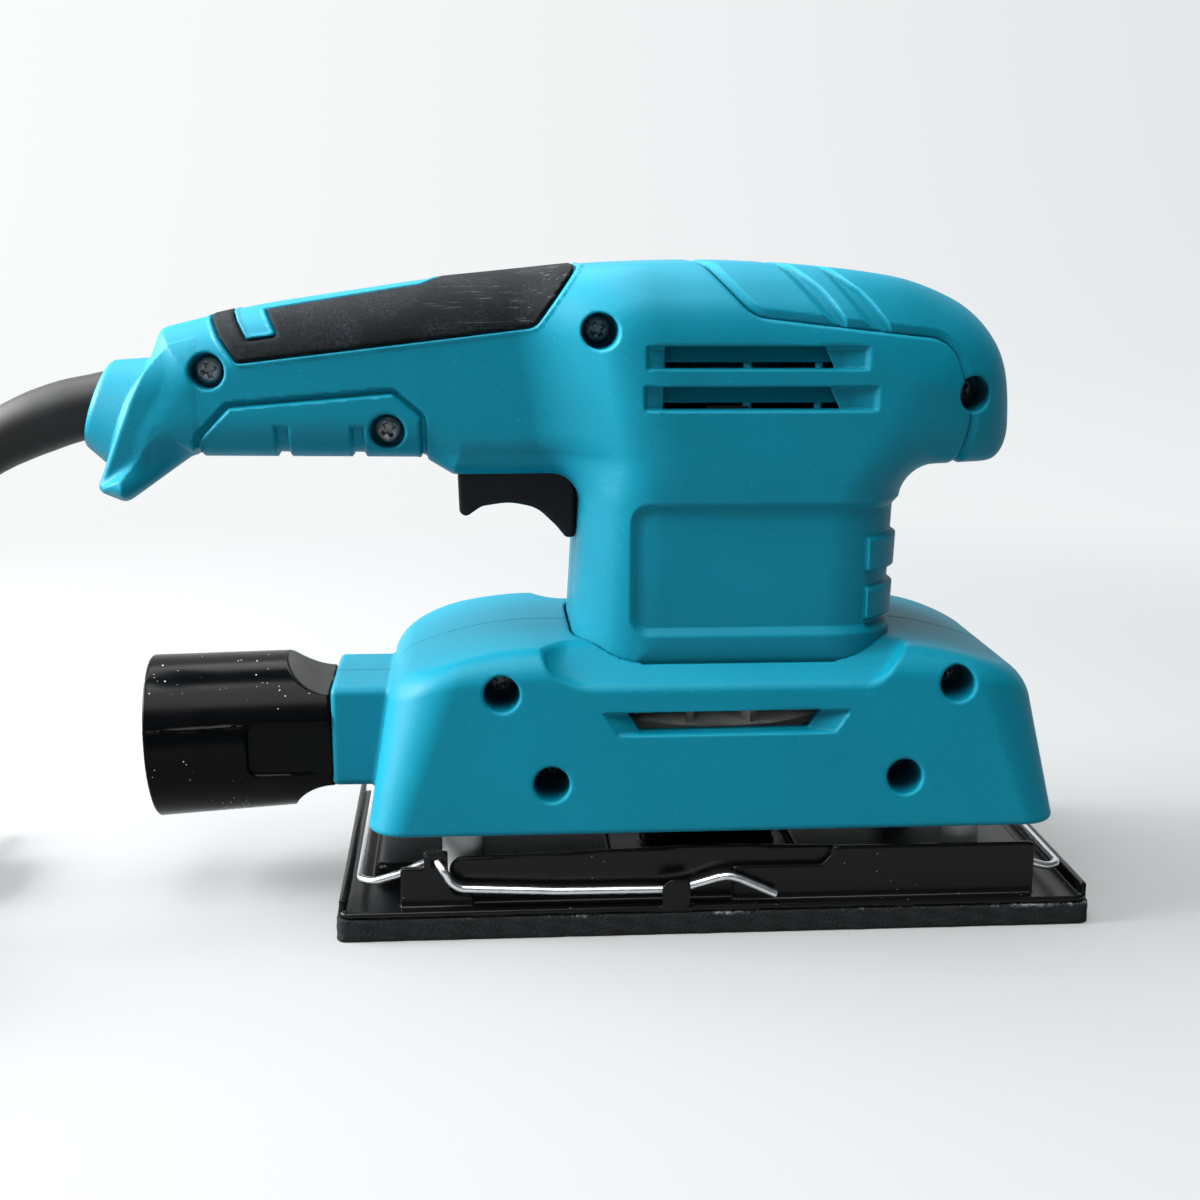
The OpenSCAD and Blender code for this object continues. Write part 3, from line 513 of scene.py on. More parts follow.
def upper_half(x, s, z, holes):
    """One half of the upper housing; holes is true on the side that the screws go in from."""
    plain = barrel(x, s, z)
    solid = plain + skin_detail(x, s, z)
    solid = less(solid, np.maximum(grip_field(x, s, z) - GRIP_GAP, -(plain + GRIP_RECESS)), 0.25)
    inner = plain + WALL
    # Cooling slots go right through, each behind a slanted louvre
    for low, high, _, _, rear, front in SLOTS:
        opening = np.maximum(slab(x, rear, front + (z - low) * -0.5), slab(z, low + 0.4, high - 0.3))
        solid = less(solid, np.maximum(opening, 22 - s), 0.25)
    solid = np.maximum(solid, -inner)
    for low, high, _, _, rear, front in SLOTS:
        face = (s - LOUVRE_S + 0.5 * (z - low)) * 0.894
        louvre = np.maximum(slab(face, -LOUVRE_T, 0), slab(z, low + 1.7, high + 1.6))
        for post_x, post_half in LOUVRE_POSTS:
            post = np.maximum(np.abs(x - post_x) - post_half, slab(z, low - 1, low + 2.4))
            louvre = np.minimum(louvre, np.maximum(post, slab(face, -LOUVRE_T, -0.3)))
        solid = np.minimum(solid, np.maximum(louvre, slab(x, rear - 1.5, front + 1.5)))
    # Inside: a boss for each screw and the seat of the upper bearing
    for sx, sz, _, end in UPPER_SCREWS:
        boss = np.maximum(np.hypot(x - sx, z - sz) - BOSS_R, s - end)
        solid = np.minimum(solid, np.maximum(boss, plain + 1))
    half_l, half_w, low, high, bearing_r = BEARING_SEAT
    bearing_seat = np.maximum(np.maximum(np.abs(x - SHAFT_X) - half_l, s - half_w), slab(z, low, high))
    solid = np.minimum(solid, np.maximum(bearing_seat, plain + 1))
    from_shaft = np.hypot(x - SHAFT_X, s)
    solid = np.maximum(solid, -np.maximum(from_shaft - bearing_r, slab(z, 132.2, 140)))
    solid = np.maximum(solid, -np.maximum(from_shaft - SHAFT_HOLE_R, slab(z, 128, 140)))
    for sx, sz, seat, _ in UPPER_SCREWS:
        solid = screw_bored(solid, np.hypot(x - sx, z - sz), s, seat, holes, 0.7)
    # The cap's place, the trigger's opening, the cord's bore, the neck's open foot and the flat seam
    solid = less(solid, CAP_SIDE(x, z) - 0.02 - 0.13 * ramp(plain, -1.4, -0.5), 0.6)
    from_cap_screw = np.hypot(x - CAP_SCREW[0], z - CAP_SCREW[1])
    solid = less(solid, np.maximum(from_cap_screw - HOLE_R, CAP_SEAT - s), 0.5)
    rear, front, half_w, low, high = TRIGGER_WAY
    trigger_way = both(slab(x, rear, front), np.maximum(s - half_w, slab(z, low, high)), 1)
    solid = less(solid, trigger_way, 0.6)
    exit_x, _, exit_z = CORD_ROUTE[0]
    bore = np.hypot(s, (x - exit_x) * 0.242 - (z - exit_z) * 0.97) - CORD_BORE_R
    solid = less(solid, np.maximum(bore, x + 136), 0.6)
    solid = both(solid, NECK_FOOT - z, 0.5)
    return both(solid, SEAM_GAP - s, SEAM_R)


def upper_unseen(x, s, z):
    """Below zero where a half shows little: inside the wall, but for the louvres behind the slots."""
    louvres = np.maximum(np.maximum(slab(x, -20, 40), slab(z, 124, 143)), 26 - s)
    return np.maximum(barrel(x, s, z) + 2, -louvres)


for hand, side, has_holes in HALVES:
    solid = partial(upper_half, holes=has_holes)
    mesh = moulded(
        f"upper_shell_{hand}", solid, (-156, -3, 59), (79, 36, 163), side=side, plain=upper_unseen,
    )
    placed(f"upper_shell_{hand}", mesh, "housing", "teal_plastic", teal_nylon, f"upper_housing_{hand}")

# ==== Head cap ====
# A separate teal moulding over the motor's end, bevelled along its part line, with two shallow bands that
# widen from the crown. One screw on each side holds it to the halves.
EDGE_DEPTH, BAND_DEPTH = 1.15, 1.25
BANDS = [
    outline([(12.5, 162, 0), (27, 144.6, 1), (32.2, 143.6, 1), (25.2, 153.6, 22), (14.8, 162, 0)]),
    outline([(22.6, 162, 0), (36.2, 143.4, 1), (43.2, 142.2, 1), (35.6, 152.2, 22), (24.4, 161, 0)]),
]


def head_cap(x, y, z):
    """The whole cap, both sides of the middle plane."""
    s = np.abs(y)
    plain = barrel(x, s, z)
    edge = CAP_SIDE(x, z)
    deep = EDGE_DEPTH * np.clip(1 + edge / 2.3, 0, 1)
    for band in BANDS:
        deep = np.maximum(deep, BAND_DEPTH * np.clip(-band(x, z) / 1.15, 0, 1))
    solid = both(plain + deep, edge + 0.02 + 0.13 * ramp(plain, -1.4, -0.5), 0.4)
    solid = np.maximum(solid, -(plain + WALL))
    from_screw = np.hypot(x - CAP_SCREW[0], z - CAP_SCREW[1])
    boss = np.maximum(np.maximum(from_screw - BOSS_R + 0.6, CAP_SEAT - 2.5 - s), plain + 1)
    solid = np.minimum(solid, np.maximum(boss, edge + 0.15))
    solid = less(solid, np.maximum(from_screw - HOLE_R, CAP_SEAT - s), 0.7)
    return np.maximum(solid, -np.maximum(from_screw - THREAD_R, CAP_SEAT - 3.5 - s))


mesh = moulded(
    "cap_shell", head_cap, (-8, -36, 105), (79, 36, 163), plain=lambda x, y, z: barrel(x, np.abs(y), z) + 2,
)
placed("cap_shell", mesh, "housing", "teal_plastic", teal_nylon, "head_cap")

# ==== Base housing halves ====
# The skirt round the fan and the dust chamber: two teal mouldings that part on the middle plane. The motor's
# neck stands in the opening on top, with a scooped ledge beside it, and the dust duct leaves the rear.
# At the foot: half length, half width and corner radius of the skirt. Then its foot's and crown's heights
SKIRT_L, SKIRT_W, SKIRT_R, SKIRT_FOOT, CROWN_Z = 84.8, 43.6, 9, 25, 68.6
SCOOP_PLAN = outline([
    (-34.2, -2, 0), (-34.6, 10, 12), (-42.6, 33, 6), (-41.5, 38.5, 4), (-34.5, 42, 7), (-28, 60, 0),
    (34, 60, 0), (37, 45, 9), (45.6, 34.6, 10), (53, 20.4, 12), (59, 5, 0), (59, -2, 0),
])
# Screws in the side: x, z, with every head's seat as far from the seam
LOWER_SCREWS = [(-52.3, 59), (-40.5, 37.2), (58.4, 60), (45.5, 37.6)]
LOWER_SEAT = 24
DUCT_X, DUCT_ROOT, DUCT_W, DUCT_LOW, DUCT_HIGH = -94.5, -74, 18.5, 30, 55.5
SPIGOT_Z, SPIGOT_R, NOZZLE_FALL = 41, 12, math.radians(2.6)
# The exhaust slot, and the recess round it: bottom, top, depth and the step at its ends
VENT_SIDE = outline([(-22.3, 54.1, 0.4), (25.2, 54.4, 0.4), (22, 49.6, 0.4), (-19.1, 49.3, 0.4)])
VENT_LOW, VENT_HIGH, VENT_DEPTH, VENT_STEP = 48.75, 54.25, 1.9, 0.35
LEG_X, LEG_S, LEG_SOCKET_R = 62, 33, 6.5


def round_cornered(x, s, half_l, half_w, r):
    """Distance to a rectangle, seen from above, with corners rounded to radius r."""
    past_l, past_w = np.abs(x) - half_l, s - half_w
    corner = np.hypot(np.maximum(past_l + r, 0), np.maximum(past_w + r, 0)) - r
    return corner + np.minimum(np.maximum(past_l, past_w) + r, 0)


def skirt(x, s, z):
    """The base without its details: drafted walls under a crown that falls to both ends."""
    up = np.clip(z - SKIRT_FOOT, 0, 45)
    wall = round_cornered(x, s, SKIRT_L - 0.165 * up, SKIRT_W - 0.118 * up, SKIRT_R + 0.2 * up)
    fall = np.maximum(np.abs(x + 0.5) - 42, 0)
    crown = (z - CROWN_Z + 0.0064 * fall ** 2) / np.hypot(1, 0.0128 * fall)
    return both(wall, crown, 7 - 2.5 * ramp(np.abs(x), 50, 74))


def duct(x, s, z):
    """The square duct at the rear that the nozzle plugs into."""
    section = both(s - DUCT_W, slab(z, DUCT_LOW, DUCT_HIGH), 2)
    return both(section, slab(x, DUCT_X, DUCT_ROOT), 1.4)


def base_half(x, s, z, holes):
    """One half of the base; holes is true on the side that the screws go in from."""
    plain = skirt(x, s, z)
    solid = either(plain, duct(x, s, z), 1.2)
    # The ledge slopes down and out from the neck's foot
    floor = (64.6 - 0.613 * (s - 32.3) - z) * 0.853
    solid = less(solid, both(floor, SCOOP_PLAN(x, s), 5), 1.1)
    # The exhaust's recess ramps in from both ends
    ends = np.minimum(x + 28.5 - (54.2 - z) * 0.7, 32.3 - (54.3 - z) * 0.71 - x)
    band = np.clip(-slab(z, VENT_LOW, VENT_HIGH) / 0.45, 0, 1)
    deep = VENT_DEPTH * np.clip(ends / 6, 0, 1) * band
    deep = deep + VENT_STEP * np.clip(ends / 0.5, 0, 1) * band
    solid = solid + deep * ramp(s, 30, 36)
    solid = less(solid, np.maximum(VENT_SIDE(x, z), 30 - s), 0.25)
    under_scoop = both(floor, SCOOP_PLAN(x, s), 5.5)
    thicker = 1.8 * ramp(-VENT_SIDE(x, z), -9, -6)
    inner = np.maximum(plain + WALL + thicker, -under_scoop + WALL)
    duct_bore = np.maximum(s - DUCT_W + WALL, slab(z, DUCT_LOW + WALL, DUCT_HIGH - WALL))
    duct_bore = np.maximum(duct_bore, slab(x, DUCT_X + WALL, -70))
    solid = np.maximum(solid, -np.minimum(inner, duct_bore))
    for sx, sz in LOWER_SCREWS:
        boss = np.maximum(np.hypot(x - sx, z - sz) - BOSS_R, plain + 1)
        solid = np.minimum(solid, boss)
    for leg_x in (-LEG_X, LEG_X):
        socket = np.maximum(np.hypot(x - leg_x, s - LEG_S) - LEG_SOCKET_R, np.maximum(44 - z, plain + 1))
        solid = np.minimum(solid, socket)
    for sx, sz in LOWER_SCREWS:
        solid = screw_bored(solid, np.hypot(x - sx, z - sz), s, LOWER_SEAT, holes, 0.75)
    # The neck's opening, the nozzle's bore and the flat seam
    neck = both(np.maximum(-34.7 - x, x - 46.05), s - NECK_W - 0.08, 20)
    solid = less(solid, np.maximum(neck, 56 - z), 0.35)
    above_axis = (z - SPIGOT_Z) * math.cos(NOZZLE_FALL) - (x - DUCT_X) * math.sin(NOZZLE_FALL)
    spigot = np.hypot(s, above_axis) - SPIGOT_R - 0.1
    solid = less(solid, np.maximum(spigot, x + 72), 0.6)
    solid = both(solid, SKIRT_FOOT - z, 1.2)
    return both(solid, SEAM_GAP - s, SEAM_R)


def base_unseen(x, s, z):
    """Below zero where a half shows little: inside the wall, but for the edge of the exhaust slot."""
    return np.maximum(np.minimum(skirt(x, s, z), duct(x, s, z)) + 2, 2 - VENT_SIDE(x, z))


for hand, side, has_holes in HALVES:
    solid = partial(base_half, holes=has_holes)
    mesh = moulded(
        f"base_shell_{hand}", solid, (-97, -3, 22), (88, 46, 72), side=side, plain=base_unseen,
    )
    placed(f"base_shell_{hand}", mesh, "housing", "teal_plastic", teal_nylon, f"base_housing_{hand}")

# ==== Soft grip ====
# Two pads of charcoal thermoplastic rubber, moulded into the handle's recess and rubbed pale where the palm
# lies. They stand a little proud of the shell, with a dark gap round them.
GRIP_PROUD, GRIP_BED = 0.35, 1.1
CHARCOAL, PALM_GREY, SCRATCH = "07090b", "2b343b", "596168"
PEBBLES_PER_MM, PALM_MARKS_PER_MM, SCRATCHES_PER_MM = 1.6, 0.06, 0.9
# Thermoplastic rubber from a pebbled mould: matt, greyer in patches where the palm rubs it, and finely
# scratched along the hand's way at its front end
grip_rubber, tree, shader, mm = new_material("charcoal_rubber_moulded_rubbed")
grain = add(
    tree, "ShaderNodeTexNoise", {"Vector": mm, "Scale": PEBBLES_PER_MM, "Detail": 4, "Roughness": 0.75},
)
clouds = add(tree, "ShaderNodeTexNoise", {
    "Vector": mm, "Scale": PALM_MARKS_PER_MM, "Detail": 5, "Roughness": 0.6, "Distortion": 0.8,
})
palm = add(
    tree, "ShaderNodeMapRange",
    {"Value": clouds.outputs[0], "From Min": 0.42, "From Max": 0.7, "To Min": 0.1},
)
speckle = add(tree, "ShaderNodeMapRange", {"Value": grain.outputs[0], "From Min": 0.4, "From Max": 0.72})
rubbed = add(tree, "ShaderNodeMath", {0: palm.outputs[0], 1: speckle.outputs[0]}, operation="MULTIPLY")
tone = add(
    tree, "ShaderNodeMix", {0: rubbed.outputs[0], 6: linear(CHARCOAL), 7: linear(PALM_GREY)},
    data_type="RGBA",
)
stretched = add(
    tree, "ShaderNodeMapping", {"Vector": mm, "Rotation": (0, 0.5, 0.4), "Scale": (0.05, 1, 1.6)},
)
strokes = add(tree, "ShaderNodeTexNoise", {
    "Vector": stretched.outputs[0], "Scale": SCRATCHES_PER_MM, "Detail": 4, "Distortion": 1.2,
})
thin = add(
    tree, "ShaderNodeMapRange",
    {"Value": strokes.outputs[0], "From Min": 0.62, "From Max": 0.7, "To Max": 0.5},
)
parts = add(tree, "ShaderNodeSeparateXYZ", {0: mm})
front_end = add(tree, "ShaderNodeMapRange", {"Value": parts.outputs[0], "From Min": -80, "From Max": -48})
scratches = add(tree, "ShaderNodeMath", {0: thin.outputs[0], 1: front_end.outputs[0]}, operation="MULTIPLY")
worn = add(
    tree, "ShaderNodeMix", {0: scratches.outputs[0], 6: tone.outputs[2], 7: linear(SCRATCH)},
    data_type="RGBA",
)
bump = add(tree, "ShaderNodeBump", {"Height": grain.outputs[0], "Strength": 0.8, "Distance": 0.0002})
feed(tree, shader, {
    "Base Color": worn.outputs[2], "Normal": bump.outputs[0], "Roughness": 0.62,
    "Specular IOR Level": 0.08,
})


def soft_pad(x, s, z):
    """One side's layer of rubber, from its bed in the shell's recess to a little proud of the shell."""
    plain = barrel(x, s, z)
    layer = both(plain - GRIP_PROUD, grip_field(x, s, z) + 0.15, 0.7)
    return np.maximum(np.maximum(layer, -(plain + GRIP_BED)), 0.05 - s)


for hand, side, _ in HALVES:
    mesh = moulded(
        f"soft_grip_{hand}", soft_pad, (-124, -2, 128), (-30, 30, 163), side=side,
        plain=lambda x, s, z: barrel(x, s, z) + 0.6,
    )
    placed(f"soft_grip_{hand}", mesh, "housing", "grip_rubber", grip_rubber, f"grip_{hand}")

# ==== Dust nozzle ====
# A glossy black moulded adapter that plugs into the duct: a round spigot, scooped top and bottom behind the
# hose socket, and a flat on each side. A fine mould line runs along it and white dust clings to it.
NOZZLE_BLACK, DUST = "040506", "c9cdcf"
NOZZLE_LENGTH, SOCKET_R, SOCKET_DEPTH, THROAT_R, NOZZLE_R = 46, 17.6, 34, 9.8, 20.05
SPECKS_PER_MM, DUSTY_PATCHES_PER_MM, HAZE_PER_MM = 0.62, 0.06, 0.11
# ABS from a polished mould: a clear gloss, a little hazed by handling, with matt specks of white dust
nozzle_gloss, tree, shader, mm = new_material("black_abs_moulded_gloss")
specks = add(tree, "ShaderNodeTexVoronoi", {"Vector": mm, "Scale": SPECKS_PER_MM, "Randomness": 1})
size = add(tree, "ShaderNodeTexNoise", {"Vector": mm, "Scale": DUSTY_PATCHES_PER_MM, "Detail": 2})
reach = add(
    tree, "ShaderNodeMapRange",
    {"Value": size.outputs[0], "From Min": 0.5, "From Max": 0.72, "To Max": 0.16},
)
dusty = add(tree, "ShaderNodeMath", {0: specks.outputs[0], 1: reach.outputs[0]}, operation="LESS_THAN")
haze = add(tree, "ShaderNodeTexNoise", {"Vector": mm, "Scale": HAZE_PER_MM, "Detail": 5})
tone = add(
    tree, "ShaderNodeMix", {0: dusty.outputs[0], 6: linear(NOZZLE_BLACK), 7: linear(DUST)},
    data_type="RGBA",
)
clean = add(tree, "ShaderNodeMapRange", {"Value": haze.outputs[0], "To Min": 0.12, "To Max": 0.3})
dull = add(tree, "ShaderNodeMath", {0: clean.outputs[0], 1: dusty.outputs[0]}, operation="MAXIMUM")
feed(tree, shader, {
    "Base Color": tone.outputs[2], "Roughness": dull.outputs[0], "Specular IOR Level": 0.07,
})
# The scoops' centre heights and radii, above and below
SCOOPS = ((66.4, 13.3), (18.9, 10.6))
SIDE_FLAT = outline([(-115.4, 33.2, 2.5), (-115.4, 46.6, 2.5), (-85, 46.6, 0), (-85, 33.2, 0)])


def nozzle(x, y, z):
    """The nozzle about its axis, which falls 2.6 degrees to the rear."""
    s = np.abs(y)
    u = (DUCT_X - x) * math.cos(NOZZLE_FALL) + (SPIGOT_Z - z) * math.sin(NOZZLE_FALL)
    w = (z - SPIGOT_Z) * math.cos(NOZZLE_FALL) + (DUCT_X - x) * math.sin(NOZZLE_FALL)
    r = np.hypot(s, w)
    line = 0.3 * np.clip(1.4 - np.abs(w - 6.4) / 0.3, 0, 1) * ramp(u, 20, 22)
    outer = both(r - NOZZLE_R - 0.0217 * (u - 11.5) - line, slab(u, 0.12, NOZZLE_LENGTH), 0.6)
    outer = less(outer, both(SIDE_FLAT(x, z), 18.1 - s, 0.6), 0.35)
    for scoop_z, scoop_r in SCOOPS:
        outer = less(outer, np.hypot(x - DUCT_X, z - scoop_z) - scoop_r, 0.4)
    solid = either(outer, both(r - SPIGOT_R, slab(u, -12, 3), 0.5), 0.2)
    widening = np.clip((u - 4) / (NOZZLE_LENGTH - SOCKET_DEPTH - 4), 0, 1)
    throat = THROAT_R + (SOCKET_R - THROAT_R) * widening
    solid = less(solid, np.maximum((r - throat) * 0.7, u - 13), 0.3)
    return less(solid, np.maximum(r - SOCKET_R, NOZZLE_LENGTH - SOCKET_DEPTH - u), 0.6)


mesh = moulded("nozzle", nozzle, (-142.5, -22, 16), (-81, 22, 63), cell=0.5)
placed("nozzle", mesh, "nozzle", "gloss_black", nozzle_gloss, "dust_nozzle")

# ==== Trigger ====
# A satin black lever moulded with a curved finger rest; its rubbed edges shine a little. Its plunger
# presses the switch.
TRIGGER_BLACK, TRIGGER_RUB, TRIGGER_W = "0a0c0d", "1c2023", 8
TRIGGER_GRAINS_PER_MM, RUBS_PER_MM = 2.2, 0.16
# Nylon from a fine-grained mould: satin, and glossier in patches where the finger polishes it
trigger_satin, tree, shader, mm = new_material("black_nylon_moulded_satin")
grain = add(tree, "ShaderNodeTexNoise", {"Vector": mm, "Scale": TRIGGER_GRAINS_PER_MM, "Detail": 3})
rubbed = add(tree, "ShaderNodeTexNoise", {"Vector": mm, "Scale": RUBS_PER_MM, "Detail": 4})
bump = add(tree, "ShaderNodeBump", {"Height": grain.outputs[0], "Strength": 0.2, "Distance": 0.0001})
two_toned(tree, shader, rubbed.outputs[0], (TRIGGER_BLACK, TRIGGER_RUB), (0.28, 0.5))
feed(tree, shader, {"Normal": bump.outputs[0], "Specular IOR Level": 0.15})
TRIGGER_SIDE = outline([
    (-62.5, 111, 0.8), (-62, 97.4, 1.6), (-60.2, 96.7, 1.4), (-56.4, 99.3, 4), (-49.5, 100.3, 14),
    (-42.6, 98.9, 9), (-37.7, 94.2, 6), (-35.3, 91.2, 1.3), (-32.7, 91.2, 1.2), (-32.7, 111, 1.5),
])


def trigger_lever(x, y, z):
    """The lever, with a plunger on top for the spring and the switch."""
    s = np.abs(y)
    lever = both(TRIGGER_SIDE(x, z), s - TRIGGER_W, 1.1)
    plunger = np.maximum(np.maximum(slab(x, -60, -54), s - 5), slab(z, 107, 111.9))
    return either(lever, plunger, 0.4)


trigger_low, trigger_high = (-64, -9.5, 90), (-31, 9.5, 113)
mesh = moulded("trigger_lever", trigger_lever, trigger_low, trigger_high, cell=0.35)
placed("trigger_lever", mesh, "trigger", "black_plastic", trigger_satin, "trigger")

# ==== Foam pad ====
# Dense black rubber foam, cut to 185 by 93 mm and glued under the plate, so that the abrasive sheet lies
# evenly. Its cut cells show as a fine grain, and handling has left pale scuffs along the upper edge.
FOAM_BLACK, FOAM_CELL, SCUFF = "111314", "25282a", "8b9093"
FOAM_L, FOAM_W, FOAM_T, FOAM_R = 92.5, 46.5, 5.7, 2.5
NICK = (92.9, -45.4, 5.2)
PORES_PER_MM, FOAM_GRAINS_PER_MM, SCUFF_FIELDS_PER_MM, SCUFFS_PER_MM = 1.5, 1.8, 0.035, 0.75
# Rubber foam cut from sheet: dull and porous. Its pores are drawn wider than the real 0.3 mm so that they
# show, and the handled upper edge is torn pale in places.
cut_foam, tree, shader, mm = new_material("black_rubber_foam_cut")
cells = add(tree, "ShaderNodeTexVoronoi", {"Vector": mm, "Scale": PORES_PER_MM, "Randomness": 1})
grain = add(
    tree, "ShaderNodeTexNoise", {"Vector": mm, "Scale": FOAM_GRAINS_PER_MM, "Detail": 4, "Roughness": 0.7},
)
tone = add(
    tree, "ShaderNodeMix", {0: grain.outputs[0], 6: linear(FOAM_BLACK), 7: linear(FOAM_CELL)},
    data_type="RGBA",
)
parts = add(tree, "ShaderNodeSeparateXYZ", {0: mm})
near_edge = add(tree, "ShaderNodeMapRange", {"Value": parts.outputs[2], "From Min": 4.6, "From Max": 5.6})
fields = add(tree, "ShaderNodeTexNoise", {"Vector": mm, "Scale": SCUFF_FIELDS_PER_MM, "Detail": 2})
scratches = add(
    tree, "ShaderNodeTexNoise", {"Vector": mm, "Scale": SCUFFS_PER_MM, "Detail": 5, "Roughness": 0.8},
)
where = add(tree, "ShaderNodeMath", {0: fields.outputs[0], 1: scratches.outputs[0]}, operation="MULTIPLY")
torn = add(
    tree, "ShaderNodeMapRange",
    {"Value": where.outputs[0], "From Min": 0.29, "From Max": 0.35, "To Max": 0.9},
)
scuffed = add(tree, "ShaderNodeMath", {0: torn.outputs[0], 1: near_edge.outputs[0]}, operation="MULTIPLY")
scuff_tone = add(
    tree, "ShaderNodeMix", {0: scuffed.outputs[0], 6: tone.outputs[2], 7: linear(SCUFF)},
    data_type="RGBA",
)
relief = add(tree, "ShaderNodeMath", {0: cells.outputs[0], 1: grain.outputs[0]}, operation="ADD")
bump = add(tree, "ShaderNodeBump", {"Height": relief.outputs[0], "Strength": 0.8, "Distance": 0.0003})
feed(tree, shader, {
    "Base Color": scuff_tone.outputs[2], "Normal": bump.outputs[0], "Roughness": 0.9,
    "Specular IOR Level": 0.2,
})


def foam_block(x, y, z):
    """The pad with cut edges, a nick in one corner and slightly uneven sides."""
    s = np.abs(y)
    plan = round_cornered(x, s, FOAM_L, FOAM_W, FOAM_R)
    uneven = 0.07 * np.sin(x * 0.31) + 0.06 * np.sin(x * 0.83 + 1) + 0.05 * np.sin(z * 2.1 + x * 0.5)
    solid = both(plan + 0.12 + uneven, slab(z, 0, FOAM_T), 0.5)
    from_nick = np.sqrt((x - NICK[0]) ** 2 + (y - NICK[1]) ** 2 + (z - NICK[2]) ** 2)
    return less(solid, from_nick - 1, 0.3)


mesh = moulded("foam_cushion", foam_block, (-94, -48, -1), (94, 48, 7), cell=0.6)
foam_cushion = placed("foam_cushion", mesh, "pad", "foam", cut_foam, "foam_pad")

# ==== Base plate ====
# One pressing of 1.5 mm sheet steel, stove-enamelled black: side walls for the clamp wires, turned-up ends,
# a raised field with stiffening beads, the hub for the eccentric's bearing, and a catch for each lever.
ENAMEL, ENAMEL_CHIP = "070809", "7c8083"
PLATE_L, PLATE_W, PLATE_TOP, PLATE_R, SHEET = 91.7, 46.3, 7.2, 3, 1.5
ENAMEL_HAZE_PER_MM, ORANGE_PEEL_PER_MM, CHIPS_PER_MM = 0.07, 0.5, 0.3
# Stove enamel sprayed on steel: a deep gloss with a faint orange peel, hazed by dust, with pin-sized chips
enamel, tree, shader, mm = new_material("black_stove_enamel_on_steel")
haze = add(tree, "ShaderNodeTexNoise", {"Vector": mm, "Scale": ENAMEL_HAZE_PER_MM, "Detail": 5})
orange_peel = add(tree, "ShaderNodeTexNoise", {"Vector": mm, "Scale": ORANGE_PEEL_PER_MM, "Detail": 2})
dust = add(tree, "ShaderNodeTexVoronoi", {"Vector": mm, "Scale": CHIPS_PER_MM, "Randomness": 1})
chip = add(tree, "ShaderNodeMath", {0: dust.outputs[0], 1: 0.045}, operation="LESS_THAN")
tone = add(
    tree, "ShaderNodeMix", {0: chip.outputs[0], 6: linear(ENAMEL), 7: linear(ENAMEL_CHIP)},
    data_type="RGBA",
)
sheen = add(tree, "ShaderNodeMapRange", {"Value": haze.outputs[0], "To Min": 0.16, "To Max": 0.34})
bump = add(tree, "ShaderNodeBump", {"Height": orange_peel.outputs[0], "Strength": 0.15, "Distance": 0.0002})
feed(tree, shader, {
    "Base Color": tone.outputs[2], "Roughness": sheen.outputs[0], "Normal": bump.outputs[0],
    "Specular IOR Level": 0.2,
})
FRONT_WALL = outline([
    (3.8, 4, 0), (3.8, 15.7, 0.6), (25.9, 15.7, 1.2), (27.8, 17.8, 0.6), (27.8, 20.2, 1.6),
    (78.7, 20.2, 0.8), (78.7, 4, 0),
])
REAR_WALL = outline([
    (-77, 4, 0), (-77, 17, 0.6), (-71.4, 17, 0.6), (-71.4, 21, 0.8), (-65.6, 21, 0.6), (-65.6, 10, 4),
    (-59.7, 10, 0.5), (-59.7, 4, 0),
])
BEAD_WALL = outline([(-65.2, 4, 0), (-65.2, 18.6, 3), (0, 20.6, 60), (64, 18.6, 3), (64, 4, 0)])
CATCH = outline([(-13.9, 4, 0), (-13.9, 12.2, 0.5), (-12, 13.8, 0.5), (-7.2, 13.8, 0.8), (-7.2, 4, 0)])
# How far from the middle plane the side walls, the beads behind them, the catches and the rim's ends are
WALL_IN, WALL_OUT, BEAD_IN, BEAD_OUT, CATCH_IN, RIM_W = 41.1, 42.6, 39.3, 40.7, 45.1, 44.5
# The height of the underside, and the raised field: inner end, outer end, half width and top
PLATE_Z, FIELD = FOAM_T + 0.05, (24, 84, 24, 10.9)
HUB_X, HUB_R, HUB_BORE, HUB_TOP = 3, 17.5, 11, 21
SEAT_R, SEAT_Z, LEG_HOLE_R = 14, 13, 3.8
PIVOT_X, PIVOT_Z, WIRE_R = 68.2, 18.4, 1


